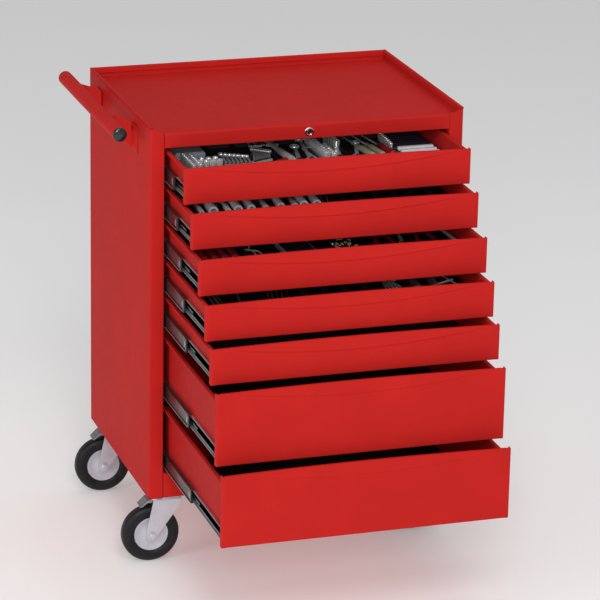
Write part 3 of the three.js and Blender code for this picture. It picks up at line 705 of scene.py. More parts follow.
def front_section(share, height, fold):
    """The section of a front at one column: (depth, height) points from the bottom fold to the top hem."""
    arc_z = height - max(PULL_HEIGHT * share, 4)
    setback = PULL_SETBACK * share
    crease = CREASE_DEPTH * min(1, share * 2.5)
    bottom = rounded([(FRONT_DEPTH * fold, 0), (0, 0), (0, 12)], 2.4, 3)[:-1]
    line = bottom + [(0, arc_z * 0.5)]
    for below, part in ((10, 0.0), (7, 0.35), (5, 0.8), (3.4, 1.0), (2, 0.75), (1, 0.35)):
        line.append((crease * part, arc_z - below))
    line.append((0, arc_z))
    roll = 1.6
    for k in range(1, 7):
        t = k / 6
        line.append((setback * t, arc_z + (height - roll - arc_z) * t))
    for k in range(1, 5):
        a = math.pi / 2 * k / 4
        line.append((setback + roll * (1 - math.cos(a)), height - roll + roll * math.sin(a)))
    back = setback + roll + (TOP_HEM - roll) * fold
    line.append((back, height))
    line.append((back + 0.9 * fold + 0.2, height - 0.9))
    line.append((back + 0.9 * fold + 0.2, height - 3))
    return line


def drawer_front(half, height):
    """The dished front with its folded sides, bottom and top hem, as one bent sheet."""
    columns = []
    r = CORNER_RADIUS
    side_fold = 0.12
    for depth in (FRONT_DEPTH - GAP, 7):
        columns.append(((-half, depth), (1, 0), 0, side_fold))
    for k in range(5):
        a = math.pi / 2 * k / 4
        inward = (math.cos(a), math.sin(a))
        columns.append(((-half + r - r * inward[0], r - r * inward[1]), inward, 0, side_fold))
    pull_half = half - PULL_END_MARGIN
    columns.append(((-half + FRONT_DEPTH, 0), (0, 1), 0, 1))
    for k in range(DISH_COLUMNS + 1):
        x = -pull_half + 2 * pull_half * k / DISH_COLUMNS
        columns.append(((x, 0), (0, 1), 1 - (x / pull_half) ** 2, 1))
    mirror = [((-p[0], p[1]), (-n[0], n[1]), s, f) for p, n, s, f in columns[:8]]
    columns += mirror[::-1]
    front, back = [], []
    for (px, py), (nx, ny), share, fold in columns:
        line = front_section(share, height, fold)
        inner = offset_line(line, SHEET)
        front.append([(px + nx * d, py + ny * d, z) for d, z in line])
        back.append([(px + nx * d, py + ny * d, z) for d, z in inner])
    return thick_grid(front, back)


def drawer_box(half, height):
    """The folded tray behind a front: floor, sides with turned-out rims, and both end walls."""
    rim = height - (DEEP_RIM_DROP if height > DEEP_FRONT else SHALLOW_RIM_DROP)
    floor = BOX_FLOOR_RISE + SHEET
    inside = half - SHEET
    edge = half + BOX_RIM_WIDTH
    path = [(edge, rim - 4), (edge, rim), (inside, rim), (inside, floor), (-inside, floor), (-inside, rim),
            (-edge, rim), (-edge, rim - 4)]
    start, end = FRONT_DEPTH + GAP, FRONT_DEPTH + BOX_LENGTH
    shell = prism(folded(path, SHEET, [1.6, 2, 3, 3, 2, 1.6], 3), start, end, "Y")
    wall = folded([(end, floor - 0.5), (end, rim), (end - 9, rim), (end - 9, rim - 3)], SHEET, [2, 1])
    back = prism(wall, -inside + 0.1, inside - 0.1, "X")
    front = block((-inside + 0.1, inside - 0.1), (start, start + SHEET), (floor - 0.5, rim))
    hook_z = height - HOOK_DROP
    hook = folded([(end - 1, hook_z), (end + 24, hook_z), (end + 24, hook_z + 9)], SHEET, 2.5)
    return [shell, back, front, prism(hook, -8, 8, "X")]


def inner_slide(side, half):
    """The slide member on a box: a strip with two turned-out edges."""
    top = SLIDE_HEIGHT / 2 - 2 * SHEET - 3
    wall, lip = side * half, side * (half + SLIDE_THICKNESS - 8)
    start, end = FRONT_DEPTH + GAP, FRONT_DEPTH + BOX_LENGTH
    points = [(lip, SLIDE_CENTRE + top), (wall, SLIDE_CENTRE + top), (wall, SLIDE_CENTRE - top),
              (lip, SLIDE_CENTRE - top)]
    section = folded(points if side < 0 else points[::-1], 1.3, 1.6, 4)
    return prism(section, start, end, "Y")


def drawer_frame(n):
    low, high = (v - ORIGIN for v in box_mm(f"drawer_{n}_front"))
    return (0, low.y, low.z), (high.x - low.x) / 2, high.z - low.z


def build_drawers():
    for n in DRAWERS:
        offset, half, height = drawer_frame(n)
        box_half = OPENING_HALF - SLIDE_THICKNESS
        body = f"drawer_{n}"
        front = drawer_front(half, height)
        piece(f"drawer_{n}_front_fine", front, body, "paint", [f"drawer_{n}_front"], offset, bevel=0)
        # The drawer box takes the darker copy of the red paint: painted shade for its inside.
        piece(f"drawer_{n}_box_fine", drawer_box(box_half, height), body, "paint_inside", [f"drawer_{n}_box"],
              offset)
        rails = [inner_slide(s, box_half) for s in (-1, 1)]
        piece(f"drawer_{n}_slide_inner", rails, body, "zinc", [f"drawer_{n}_box"], offset)
        levers = []
        middle_low = box_mm(f"slide_middle_left_{n}")[0] - ORIGIN
        ahead = middle_low.y - offset[1]
        for s in (-1, 1):
            x = (s * (box_half + 1.5), s * (box_half + 4))
            levers.append(block(x, (ahead - 44, ahead + 34), (SLIDE_CENTRE - 2.6, SLIDE_CENTRE + 2.6)))
        piece(f"drawer_{n}_slide_levers", levers, body, "black", offset=offset, bevel=1.0)
        mat = block((-box_half + 4, box_half - 4), (FRONT_DEPTH + 5, FRONT_DEPTH + BOX_LENGTH - 5),
                    (BOX_FLOOR_RISE + SHEET + 0.1, BOX_FLOOR_RISE + SHEET + 2.1))
        ribs = []
        for k in range(60):
            y = FRONT_DEPTH + 9 + k * 7.3
            ribs.append(block((-box_half + 6, box_half - 6), (y, y + 2),
                              (BOX_FLOOR_RISE + SHEET + 2, BOX_FLOOR_RISE + SHEET + 2.8)))
        piece(f"drawer_{n}_mat", [mat, *ribs], body, "mat", offset=offset, bevel=0)
    build_slides()


# ------------------------------------------------------------------ drawer slides

def outer_rail(side, z):
    top = SLIDE_HEIGHT / 2
    near, far = side * (OPENING_HALF - GAP), side * (OPENING_HALF - 9)
    points = [(far, z + top), (near, z + top), (near, z - top), (far, z - top)]
    section = folded(points if side < 0 else points[::-1], SHEET, 2.5, 5)
    return prism(section, FRONT_DEPTH, FRONT_DEPTH + BOX_LENGTH, "Y")


def middle_rail(side, z, start, end):
    """Two C strips back to back, which nest between the outer and inner members."""
    top = SLIDE_HEIGHT / 2 - SHEET - 1.5
    inset = [side * (OPENING_HALF - d) for d in (3, 5, 6.5, 11.2)]
    parts = []
    for lip, web, turn in ((inset[0], inset[2], side), (inset[3], inset[1], -side)):
        line = [(lip, z + top), (web, z + top), (web, z - top), (lip, z - top)][::turn]
        parts.append(prism(folded(line, 1.4, 1.8, 4), start, end, "Y"))
    return parts


def ball_rows(side, z, start):
    """The balls of one cage, near the front of the middle member."""
    balls = []
    x = side * (OPENING_HALF - 9.2)
    for level in (-1, 1):
        for k in range(14):
            centre = (x, start + 16 + k * 7.5, z + level * (SLIDE_HEIGHT / 2 - 4.3))
            balls.append(dome(centre, 1.4, 1.4, "Z", 1, 2, 8))
            balls.append(dome(centre, 1.4, 1.4, "Z", -1, 2, 8))
    return balls


def build_slides():
    for side, name in ((-1, "left"), (1, "right")):
        rails = []
        for n in DRAWERS:
            offset = drawer_frame(n)[0]
            z = offset[2] + SLIDE_CENTRE
            rails.append(outer_rail(side, z))
            low, high = (v - ORIGIN for v in box_mm(f"slide_middle_{name}_{n}"))
            parts = middle_rail(side, z, low.y, high.y) + ball_rows(side, z, low.y)
            # Middle members in the darkened zinc: painted shade for their place inside the cabinet.
            piece(f"slide_middle_{name}_{n}_fine", parts, f"slides_{n}", "zinc_shaded",
                  [f"slide_middle_{name}_{n}"])
            reach = (side * (OPENING_HALF - 3.2), side * (OPENING_HALF - 5))
            half = SLIDE_HEIGHT / 2 - 5
            stop = block(reach, (low.y + 0.5, low.y + 9), (z - half, z + half))
            latch = block(reach, (low.y + 10, low.y + 15), (z - half * 0.5, z + half * 0.5))
            edge = block((side * (OPENING_HALF - 2.6), side * (OPENING_HALF - 3.4)), (low.y + 10, high.y),
                         (z - half - 2.4, z - half - 1.4))
            piece(f"slide_stop_{name}_{n}", [stop], f"slides_{n}", "black", bevel=0.4)
            piece(f"slide_latch_{name}_{n}", [latch, edge], f"slides_{n}", "zinc", bevel=0)
        low, high = PANEL_FOOT, TRAY_UNDER - GAP
        face = side * (OPENING_HALF - 0.4)
        behind = side * (OPENING_HALF + 1.1)
        strap = block((face, behind), (POST_RETURN + GAP, POST_RETURN + 20), (low, high))
        web_y = FRONT_DEPTH + BOX_LENGTH - 20 - SHEET
        panel = side * (HALF - SHEET - GAP)
        upright = [block((panel, panel - side * SHEET), (web_y - 20, web_y + SHEET), (low, high)),
                   block((panel, face), (web_y, web_y + SHEET), (low, high)),
                   block((face, behind), (web_y, web_y + 20), (low, high))]
        # The rack and outer rails in the darkened zinc: painted shade.
        piece(f"slide_rack_{name}_fine", [*rails, strap, *upright], "cabinet", "zinc_shaded",
              [f"slide_rack_{name}"])


# ------------------------------------------------------------------ tools in the upper drawers

TRAY_TOP = 32  # above the bottom of a front
TRAY_HALF = 289
TRAY_FRONT = 16
TRAY_BACK = 456


def laid(part, x, y, z=TRAY_TOP, angle=0):
    """A tool drawn along +Y from the origin, turned in plan and laid at its place."""
    return moved(turned_by(part, angle, "Z"), (x, y, z))


def rod(length, radius, sides=16):
    edge = 0.6
    profile = [(0, 0), (radius - edge, 0), (radius, edge), (radius, length - edge),
               (radius - edge, length), (0, length)]
    return lathe(profile, "Y", (0, 0, 0), sides)


def socket(length, radius):
    """A socket lying down, its wide end first."""
    step = length * 0.5
    profile = [(radius * 0.62, 0), (radius * 0.92, 0), (radius, 0.8), (radius, step),
               (radius * 0.84, step + 2), (radius * 0.84, length - 0.8), (radius * 0.78, length),
               (radius * 0.45, length)]
    return lathe(profile, "Y", (0, 0, 0), 24, close=True)


def standing_socket(height, radius):
    profile = [(radius * 0.55, 0), (radius * 0.85, 0), (radius * 0.9, height * 0.5), (radius, height * 0.6),
               (radius, height - 0.8), (radius * 0.92, height), (radius * 0.66, height)]
    return lathe(profile, "Z", (0, 0, 0), 22, close=True)


def spanner(length, size, thick=4.5):
    """A combination spanner: an open jaw at the start, a ring at the far end."""
    jaw = []
    for k in range(17):
        a = math.radians(-35 - 250 * k / 16)
        jaw.append((size * math.cos(a), size + size * math.sin(a)))
    jaw += [(-size * 0.45, size * 0.3), (-size * 0.42, size * 1.15), (size * 0.42, size * 1.15),
            (size * 0.45, size * 0.3)]
    head = prism(jaw, 0, thick, "Z")
    wide, narrow = size * 0.42, size * 0.34
    near, far = size * 1.8, length - size * 1.6
    outline = rounded_outline([(-wide, near), (wide, near), (narrow, far), (-narrow, far)], 1)
    shaft = prism(outline, 0.6, thick - 0.8, "Z")
    hole, shoulder, rim = size * 0.52, size * 0.9, size * 0.98
    ring_line = [(hole, 0), (shoulder, 0), (rim, 1), (rim, thick), (shoulder, thick + 1), (hole, thick + 1)]
    ring = lathe(ring_line, "Z", (0, length - size, 0), 24, close=True)
    return join(head, shaft, ring)


def driver(kit, x, y, length, radius, angle=0, color="grip"):
    """A screwdriver: a fluted handle first, then the blade."""
    grip = length * 0.42
    profile = [(0, 0), (radius * 0.7, 0), (radius, 3), (radius * 0.93, grip * 0.5), (radius, grip * 0.75),
               (radius * 0.6, grip * 0.86), (radius * 0.72, grip - 1), (radius * 0.5, grip), (0, grip)]
    kit[color].append(laid(lathe(profile, "Y", (0, 0, 0), 12), x, y, TRAY_TOP + radius * 0.4, angle))
    kit["tool"].append(laid(moved(rod(length - grip, radius * 0.28), (0, grip, 0)), x, y,
                            TRAY_TOP + radius * 0.4, angle))


def pliers(kit, x, y, length, angle=0):
    """Pliers: two bowed dipped handles, a round joint and tapering jaws."""
    for s in (-1, 1):
        points = [(s * 15, 0, 0), (s * 17, length * 0.2, 0), (s * 13, length * 0.42, 0),
                  (s * 5, length * 0.62, 0)]
        kit["grip"].append(laid(swept(points, 4.6, 12), x, y, TRAY_TOP + 2.5, angle))
    jaws = prism(rounded_outline([(-9, length * 0.58), (9, length * 0.58), (10, length * 0.7), (4, length),
                                  (-4, length), (-10, length * 0.7)], 3), -3.5, 3.5, "Z")
    rivet = lathe([(0, 3.5), (5, 3.5), (4.4, 4.6), (0, 4.8)], "Z", (0, length * 0.65, 0), 20)
    kit["tool"].append(laid(join(jaws, rivet), x, y, TRAY_TOP + 2.5, angle))


def hex_key(length, radius, foot):
    points = [(0, 0, 0), (0, length - 4, 0), (2, length - 1, 0), (foot, length, 0)]
    return swept(points, radius, 6)


def ratchet(kit, x, y, length, angle=0):
    head = lathe([(0, 0), (14, 0), (16, 2), (16, 9), (13, 11), (0, 12)], "Z", (0, length - 16, -3), 26)
    neck = length - 28
    shaft = lathe([(0, 60), (6, 60), (5, length * 0.7), (7, neck), (0, neck)], "Y", (0, 0, 2), 18)
    kit["tool"].append(laid(join(head, shaft), x, y, TRAY_TOP, angle))
    handle = lathe([(0, 0), (7, 0), (9, 4), (8, 40), (9, 70), (6, 76), (0, 76)], "Y", (0, 0, 2), 16)
    kit["tool"].append(laid(handle, x, y, TRAY_TOP, angle))


def tray_parts(columns):
    """A moulded tray with raised walls round its edge and between its columns of tools."""
    low = BOX_FLOOR_RISE + SHEET + 3.2
    parts = [block((-TRAY_HALF, TRAY_HALF), (TRAY_FRONT, TRAY_BACK), (low, TRAY_TOP - 7))]
    for x in (-TRAY_HALF + 3, *columns, TRAY_HALF - 3):
        parts.append(block((x - 3, x + 3), (TRAY_FRONT, TRAY_BACK), (TRAY_TOP - 7.1, TRAY_TOP + 3)))
    for y in (TRAY_FRONT + 3, (TRAY_FRONT + TRAY_BACK) / 2 + 60, TRAY_BACK - 3):
        parts.append(block((-TRAY_HALF, TRAY_HALF), (y - 3, y + 3), (TRAY_TOP - 7.2, TRAY_TOP + 2.8)))
    return parts


def spanner_row(kit, x, y, count, pitch, longest, size, angle=0, drop=0.86):
    for k in range(count):
        share = drop ** k
        kit["tool"].append(laid(spanner(longest * share, size * (0.55 + 0.45 * share)), x + k * pitch, y,
                                TRAY_TOP - 1, angle))


def socket_row(kit, x, y, count, pitch, radius, height, grow=0.0):
    """Standing sockets in a line from front to back."""
    at = y
    for k in range(count):
        r = radius * (1 + grow * k)
        kit["tool"].append(laid(standing_socket(height, r), x, at, TRAY_TOP - 8))
        at += pitch * (1 + grow * k)


def fill_first(kit):
    kit["grey_case"].append(block((-262, -198), (226, 330), (TRAY_TOP - 6, TRAY_TOP + 7)))
    kit["grey_case"].append(block((-260, -200), (228, 328), (TRAY_TOP + 7.2, TRAY_TOP + 9)))
    socket_row(kit, -250, 130, 8, 12, 4.6, 20)
    socket_row(kit, -237, 128, 7, 13, 5.2, 22)
    for x, y, r in ((-222, 136, 6), (-208, 134, 7.5), (-193, 136, 7), (-212, 154, 6), (-197, 156, 6),
                    (-226, 156, 5)):
        kit["tool"].append(laid(standing_socket(26, r), x, y, TRAY_TOP - 8))
    for k in range(7):
        kit["tool"].append(laid(spanner(92 - 5 * k, 7 - 0.3 * k), -176 + 8.4 * k, 132, TRAY_TOP + 1, -6))
    kit["tool"].append(laid(rod(52, 3.6), -178, 127, TRAY_TOP + 3, -90))
    for k in range(8):
        part = spanner(112 - 6 * k, 7.4)
        kit["tool"].append(laid(part, -117 + 5.2 * k, 134 + 2.5 * k, TRAY_TOP + 1.4, -14))
    spanner_row(kit, -84, 262, 5, 13, 150, 8, drop=0.93)
    kit["grip"].append(laid(rod(30, 6), -72, 130, TRAY_TOP + 3, -60))
    ratchet(kit, -34, 142, 210, 4)
    kit["tool"].append(laid(spanner(120, 11), -22, 133, TRAY_TOP, -12))
    kit["tool"].append(laid(spanner(170, 10), 4, 131, TRAY_TOP, -8))
    kit["tool"].append(laid(hex_key(96, 2.2, 24), 20, 128, TRAY_TOP + 2, 5))
    socket_row(kit, 38, 134, 11, 12.5, 7.4, 27, 0.01)
    socket_row(kit, 53, 130, 6, 13.5, 6.4, 24)
    kit["tool"].append(laid(spanner(150, 12), 68, 131, TRAY_TOP, -10))
    socket_row(kit, 84, 214, 6, 17, 8.4, 26)
    kit["tool"].append(laid(spanner(120, 10), 104, 131, TRAY_TOP, -16))
    driver(kit, 138, 128, 190, 8, 6, "olive")
    driver(kit, 160, 128, 200, 8, 6, "olive")
    driver(kit, 184, 128, 180, 8.4, 7)
    for k in range(9):
        kit["tool"].append(laid(standing_socket(19, 4), 196 + 0.6 * k, 184 + 11 * k, TRAY_TOP - 6))
    # The bars take the near-white chrome: painted glints.
    for k in range(3):
        bar = block((206, 284), (123 + 21 * k, 131 + 21 * k), (TRAY_TOP - 2, TRAY_TOP + 7))
        kit["bright"].append(bar)
        kit["tool"].append(laid(rod(11, 3.2), 199, 131.5 + 21 * k, TRAY_TOP, -90))
    kit["case"].append(block((204, 284), (196, 300), (TRAY_TOP - 6, TRAY_TOP + 4)))
    for k in range(6):
        kit["case"].append(block((206, 282), (202 + 15 * k, 206 + 15 * k), (TRAY_TOP + 4, TRAY_TOP + 5.4)))
    for k in range(9):
        kit["tool"].append(laid(spanner(128 - 4 * k, 9 - 0.3 * k), -252 + 18 * k, 318, TRAY_TOP - 1))
    for k in range(5):
        driver(kit, 120 + 30 * k, 330, 116 + 4 * k, 8, 0)
    return (-268, -184, -124, -60, 26, 94, 202)


def fill_second(kit):
    places = ((-253, 5.5), (-229, 10.5), (-197, 6), (-176, 9.5), (-148, 9),
              (-117, 6.5), (-85, 8.5), (-54, 6.5), (-35, 9.3), (-7, 9))
    # Sockets in the near-white chrome: painted glints.
    for x, radius in places:
        kit["bright"].append(laid(socket(80, radius), x, 108, TRAY_TOP + 8 + radius * 0.3, -4))
    for k in range(3):
        kit["tool"].append(laid(rod(120, 1.4), 12 + 12 * k, 122, TRAY_TOP + 1, -12))
    spanner_row(kit, -258, 232, 10, 27, 200, 11, drop=0.965)
    for k in range(6):
        kit["dark"].append(laid(rod(150, 9), 60 + 38 * k, 118, TRAY_TOP, -5))
        kit["tool"].append(laid(rod(54, 3), 58 + 38 * k, 268, TRAY_TOP, -5))
    for k in range(7):
        kit["tool"].append(laid(standing_socket(30, 9 + k), 40 + 34 * k, 372, TRAY_TOP - 8))
    return (-266, 8, 44)


def fill_third(kit):
    for k in range(4):
        driver(kit, -262 + 22 * k, 112, 210 + 8 * k, 9.5, -4)
    curl = [(9 * math.cos(a / 4), 3.2 * a, 4 + 6 * math.sin(a / 4)) for a in range(0, 34)]
    kit["tool"].append(laid(swept(curl, 1.5, 8), -160, 122, TRAY_TOP, -8))
    kit["tool"].append(laid(swept(curl, 1.2, 8), -146, 116, TRAY_TOP, 6))
    kit["grey_case"].append(laid(block((-34, 34), (0, 120), (-4, 6)), -54, 118, TRAY_TOP - 2, 0))
    kit["dark"].append(laid(block((-30, 30), (8, 112), (6, 8)), -54, 118, TRAY_TOP - 2, 0))
    shades = ("yellow", "tool", "tool", "dark")
    chance = random.Random(7)
    for k in range(42):
        x, y = 26 + chance.random() * 58, 122 + chance.random() * 84
        color = shades[k % len(shades)]
        kit[color].append(laid(rod(7, 1.6, 8), x, y, TRAY_TOP + 1, chance.random() * 180))
    pliers(kit, 130, 104, 190, -6)
    kit["tool"].append(laid(spanner(170, 9), 168, 122, TRAY_TOP, -10))
    pliers(kit, 220, 104, 190, -6)
    kit["tool"].append(laid(rod(90, 4), 282, 124, TRAY_TOP + 2, 2))
    for k in range(9):
        kit["tool"].append(laid(spanner(118, 8), -96 + 21 * k, 316, TRAY_TOP - 1))
    return (-172, -98, 20, 92)


def fill_fourth(kit):
    for x, radius, angle in ((-254, 2.2, -3), (-244, 2.8, -3), (-236, 1.8, -3),
                             (-200, 2.4, -10), (-140, 1.8, -14), (-131, 2.6, -14),
                             (-121, 2.2, -14), (-110, 1.8, -14), (-98, 1.4, -14)):
        kit["dull"].append(laid(rod(150, radius), x, 112, TRAY_TOP + 2, angle))
    for k in range(4):
        kit["dark"].append(laid(rod(170, 10), -64 + 44 * k, 104, TRAY_TOP, -12))
    for k in range(5):
        part = hex_key(70 - 7 * k, 2.2, 14)
        kit["tool"].append(laid(part, 118 + 8.5 * k, 126 + 3 * k, TRAY_TOP + 1, -8 + 5 * k))
    for x in (184, 222):
        kit["dull"].append(laid(socket(80, 9), x, 118, TRAY_TOP, -6))
    kit["tool"].append(laid(rod(120, 1.8), 268, 118, TRAY_TOP + 3, 10))
    kit["tool"].append(laid(rod(56, 2.4), 222, 128, TRAY_TOP + 2, -64))
    for k in range(12):
        kit["tool"].append(laid(spanner(150 - 3 * k, 9 - 0.3 * k), -250 + 24 * k, 290, TRAY_TOP - 1))
    for k in range(6):
        driver(kit, 60 + 34 * k, 300, 146, 9, 0)
    return (-226, -88, 108, 170)


def build_contents():
    fills = {1: fill_first, 2: fill_second, 3: fill_third, 4: fill_fourth}
    for n, fill in fills.items():
        offset = drawer_frame(n)[0]
        kit = {name: [] for name in ("tool", "bright", "dull", "grip", "olive", "yellow", "dark", "case",
                                     "grey_case")}
        columns = fill(kit)
        body = f"drawer_{n}"
        piece(f"drawer_{n}_tray", tray_parts(columns), body, "tray", offset=offset, bevel=0.8)
        for name, parts in kit.items():
            if parts:
                piece(f"drawer_{n}_kit_{name}", parts, body, name, offset=offset, bevel=0)


# ------------------------------------------------------------------ casters

WHEEL_SEGMENTS = 72


def wheel_parts(centre, radius, width):
    """The tyre and the dished disc of one wheel, turned about its axle."""
    half = width / 2
    tread = [(38.2, -half + 2.4), (40, -half + 1.2), (43.5, -half + 0.3)]
    for k in range(9):
        a = math.pi / 2 * k / 8
        tread.append((radius - 13 + 13 * math.sin(a) ** 0.8, -half + 0.2 + 9.5 * (1 - math.cos(a))))
    section = tread + [(r, -y) for r, y in tread[::-1]]
    tyre = lathe(section, "Y", centre, WHEEL_SEGMENTS, close=True)
    rings = []
    for r, y in ((46.5, half - 0.15), (56, half - 3.3)):
        for s in (-1, 1):
            rings.append(lathe([(r - 0.8, s * (y - 0.6)), (r, s * (y + 0.35)), (r + 0.8, s * (y - 0.6))], "Y",
                               centre, WHEEL_SEGMENTS, close=True))
    disc = [(5.3, -17.4), (11, -17.4), (12.2, -16.4), (13, -12.5), (17, -10.2), (24, -9.6), (30, -10.6),
            (33.5, -12.6), (36.2, -13.1), (37, -12.4)]
    rim = lathe(disc + [(r, -y) for r, y in disc[::-1]], "Y", centre, WHEEL_SEGMENTS, close=True)
    return [tyre, *rings], [rim]


def axle_parts(centre, leg_outer):
    x, y, z = centre
    reach = leg_outer + 1
    pin = lathe([(0, -reach), (5, -reach), (5, reach), (0, reach)], "Y", centre, 28)
    nuts = [bolt_head((x, y + s * leg_outer, z), 13, 6.2, "Y", s) for s in (-1, 1)]
    return [pin, *nuts]


def fork_channel(name, body, node_name, centre_xy, crown_x, crown_top, axle, leg_outer, sheet, extra):
    """A pressed channel over the wheel, trimmed to the outline of its two legs."""
    cx, cy = centre_xy
    axle_x, axle_z = axle
    path = [(cy + leg_outer, axle_z - 16), (cy + leg_outer, crown_top), (cy - leg_outer, crown_top),
            (cy - leg_outer, axle_z - 16)]
    channel = prism(folded(path, sheet, 4.5, 6), cx - 70, cx + 60, "X")
    fork = piece(name, [channel], body, "zinc_satin", [node_name], bevel=0.5)
    fork["offset"] = (0, 0, 0)
    foot = 12.5
    outline = [(crown_x[0], crown_top + 2), (crown_x[0], crown_top - 9), (axle_x - foot, axle_z + 10),
               (axle_x - foot, axle_z - 3), (axle_x - foot * 0.62, axle_z - foot),
               (axle_x + foot * 0.62, axle_z - foot), (axle_x + foot, axle_z - 1),
               (crown_x[1], crown_top - 12), (crown_x[1], crown_top + 2)]
    outline = rounded_outline(outline, [0, 8, 20, 4, 7, 7, 6, 7, 0], 5)
    reshape(fork, [prism(outline, cy - leg_outer - 5, cy + leg_outer + 5, "Y")], "INTERSECT")
    piece(f"{name}_fixings", axle_parts((axle_x, cy, axle_z), leg_outer) + extra, body, "zinc_satin",
          bevel=0.3)


def plate_parts(cx, cy, half_x, half_y, low, high):
    corners = [(cx - half_x, cy - half_y), (cx + half_x, cy - half_y),
               (cx + half_x, cy + half_y), (cx - half_x, cy + half_y)]
    plate = prism(rounded_outline(corners, 7), low, high, "Z")
    bolts = [bolt_head((cx + sx * (half_x - 11), cy + sy * (half_y - 10), low), 11, 6, "Z", -1)
             for sx in (-1, 1) for sy in (-1, 1)]
    return [plate, *bolts]


def brake_pedal(name, cy, node_name):
    low, high = (v - ORIGIN for v in box_mm(node_name))
    half = (high.y - low.y) / 2
    top, tip, root = high.z, low.x, high.x
    path = [(root, top), (root - 9, top), (tip + 3, low.z + 3.4), (tip, low.z + 3)]
    tread = prism(folded(path, 2.2, [9, 5], 6), cy - half + 2, cy + half - 2, "Y")
    sides = []
    for s in (-1, 1):
        y = (cy + s * (half - 2.2), cy + s * half)
        fence = [(root, top + 0.6), (root - 9, top + 0.6), (tip + 3, low.z + 4.2), (tip + 2, low.z + 0.6),
                 (root - 9, top - 5), (root, top - 5)]
        sides.append(prism(fence, *y, "Y"))
    ridges = []
    for k in range(3):
        x = root - 11 - k * 4
        z = top - (root - 9 - x) * (top - low.z - 3.4) / (root - 9 - tip - 3)
        ridges.append(turned_by(block((x - 0.8, x + 0.8), (cy - half + 5, cy + half - 5), (z - 0.4, z + 0.8)),
                                28, "Y", (x, cy, z)))
    piece(f"{node_name}_fine", [tread, *sides, *ridges], f"brake_{name}", "pedal", [node_name], bevel=0.5)


def build_casters():
    for name in ("front_left", "rear_left", "front_right", "rear_right"):
        swivels = name.endswith("left")
        top_node = f"caster_{name}_plate" if swivels else f"caster_{name}_bracket"
        low, high = (v - ORIGIN for v in box_mm(top_node))
        tyre_low, tyre_high = (v - ORIGIN for v in box_mm(f"caster_{name}_tyre"))
        axle = (tyre_low + tyre_high) / 2
        radius, width = (tyre_high.x - tyre_low.x) / 2, tyre_high.y - tyre_low.y
        centre = tuple(axle)
        tyre, rim = wheel_parts(centre, radius, width)
        wheel = f"wheel_{name}"
        piece(f"caster_{name}_tyre_fine", tyre, wheel, "tyre", [f"caster_{name}_tyre"], bevel=0, smooth=60)
        piece(f"caster_{name}_rim_fine", rim, wheel, "rim", [f"caster_{name}_rim"], bevel=0, smooth=45)
        leg_outer = width / 2 + 6
        plate_top = high.z
        if swivels:
            cx, cy = (low.x + high.x) / 2, (low.y + high.y) / 2
            plate_low = plate_top - 3
            race = plate_low - 8
            parts = plate_parts(cx, cy, (high.x - low.x) / 2, (high.y - low.y) / 2, plate_low, plate_top)
            cup = [(0, plate_low + 0.5), (30, plate_low + 0.5), (30, plate_low - 1.5), (29, plate_low - 3),
                   (27, plate_low - 3.6), (27, plate_low - 4.6), (29.5, plate_low - 5.4), (29.5, race + 1.5),
                   (27, race), (0, race)]
            piece(f"caster_{name}_plate_fine", [*parts, lathe(cup, "Z", (cx, cy, 0), 56)], "cabinet",
                  "zinc_satin", [top_node], bevel=0.4)
            fork_high = box_mm(f"caster_{name}_fork")[1] - ORIGIN
            crown_top = fork_high.z
            crown_x = (cx - 36, cx + 27)
            nut = [bolt_head((cx, cy, crown_top - 3), 17, 8, "Z", -1)]
            fork_channel(f"caster_{name}_fork_fine", f"swivel_{name}", f"caster_{name}_fork", (cx, cy),
                         crown_x, crown_top, (axle.x, axle.z), leg_outer, 3, nut)
            brake_pedal(name, cy, f"caster_{name}_brake_pedal")
        else:
            cx, cy = axle.x, axle.y
            plate_low = plate_top - 3
            fork_channel(f"caster_{name}_bracket_fine", "cabinet", top_node, (cx, cy), (cx - 30, cx + 30),
                         plate_low, (axle.x, axle.z), leg_outer, 3, [])
            piece(f"caster_{name}_plate_fine", plate_parts(cx, cy, 46, 37, plate_low, plate_top), "cabinet",
                  "zinc_satin", [top_node], bevel=0.4)


# ------------------------------------------------------------------ floor, light and camera

VIEW_AZIMUTH = -18.05
VIEW_ELEVATION = 18.76
VIEW_ROLL = 1.11
VIEW_DISTANCE = 6.709
VIEW_AIM = (-12.9, 0, 573.8)
LENS = 191.5


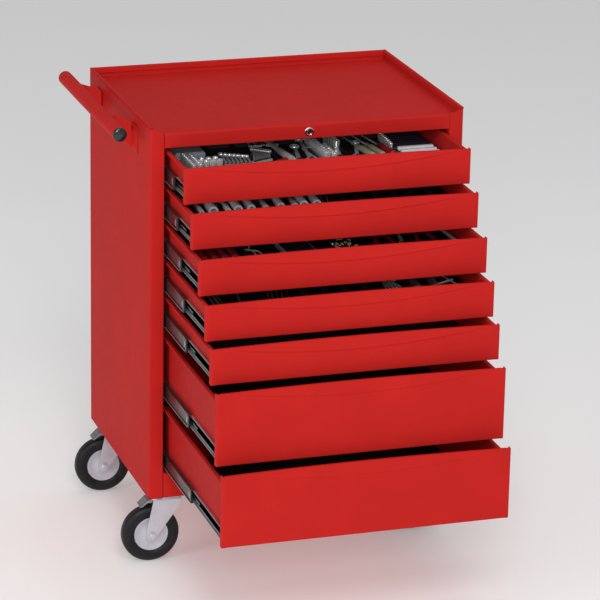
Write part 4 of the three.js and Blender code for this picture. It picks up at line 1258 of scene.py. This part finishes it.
def build_camera():
    azimuth, elevation, roll = (math.radians(v) for v in (VIEW_AZIMUTH, VIEW_ELEVATION, VIEW_ROLL))
    back = Vector((math.sin(azimuth) * math.cos(elevation), -math.cos(azimuth) * math.cos(elevation),
                   math.sin(elevation)))
    level = (-back).cross(Vector((0, 0, 1))).normalized()
    above = level.cross(-back)
    right = level * math.cos(roll) + above * math.sin(roll)
    up = above * math.cos(roll) - level * math.sin(roll)
    aim = Vector(place([VIEW_AIM])[0])
    data = bpy.data.cameras.new("view")
    data.lens = LENS
    data.sensor_width = 36
    data.clip_end = 50
    camera = bpy.data.objects.new("view", data)
    bpy.context.scene.collection.objects.link(camera)
    turn = Matrix((right, up, back)).transposed().to_4x4()
    camera.matrix_world = Matrix.Translation(aim + back * VIEW_DISTANCE) @ turn
    bpy.context.scene.camera = camera


def area_light(name, place_at, aim, size, power, color=(1, 1, 1)):
    data = bpy.data.lights.new(name, "AREA")
    data.shape = "RECTANGLE"
    data.size, data.size_y = size
    data.energy = power
    data.color = color
    lamp = bpy.data.objects.new(name, data)
    bpy.context.scene.collection.objects.link(lamp)
    lamp.location = place_at
    toward = Vector(aim) - Vector(place_at)
    lamp.rotation_euler = toward.to_track_quat("-Z", "Y").to_euler()


def build_stage():
    mesh = bpy.data.meshes.new("floor")
    reach = 14
    mesh.from_pydata([(-reach, -reach, 0), (reach, -reach, 0), (reach, reach, 0), (-reach, reach, 0)], [],
                     [(0, 1, 2, 3)])
    floor = bpy.data.objects.new("floor", mesh)
    bpy.context.scene.collection.objects.link(floor)
    mesh.materials.append(finish("studio_floor", (0.86, 0.86, 0.86), 0.7, shade=0.99, spread=0.03, grain=60,
                                 depth=0.02, patch=2))
    shader = mesh.materials[0].node_tree.nodes["Principled BSDF"]
    shader.inputs["Emission Color"].default_value = (1, 1, 1, 1)
    shader.inputs["Emission Strength"].default_value = 0.2

    world = bpy.data.worlds.new("studio")
    bpy.context.scene.world = world
    world.use_nodes = True
    sky = world.node_tree.nodes["Background"]
    sky.inputs["Color"].default_value = (1, 1, 1, 1)
    sky.inputs["Strength"].default_value = 0.36

    area_light("key", (-1.35, -4.9, 2.45), (0, 0, 0.9), (1.3, 1.3), 78)
    area_light("high", (-0.5, -3.3, 3.7), (0, 0, 0.9), (1.6, 1.6), 52)
    area_light("side", (-4.6, -1.7, 1.7), (0, 0, 0.5), (2.0, 2.0), 50)
    area_light("top", (0.4, 0.4, 4.2), (0, 0, 0.8), (2.5, 2.5), 22)
    scene = bpy.context.scene
    scene.view_settings.view_transform = "Standard"
    scene.view_settings.look = "None"


build_stage()
build_camera()
build_shell()
build_handle()
build_lock()
build_drawers()
build_contents()
build_casters()
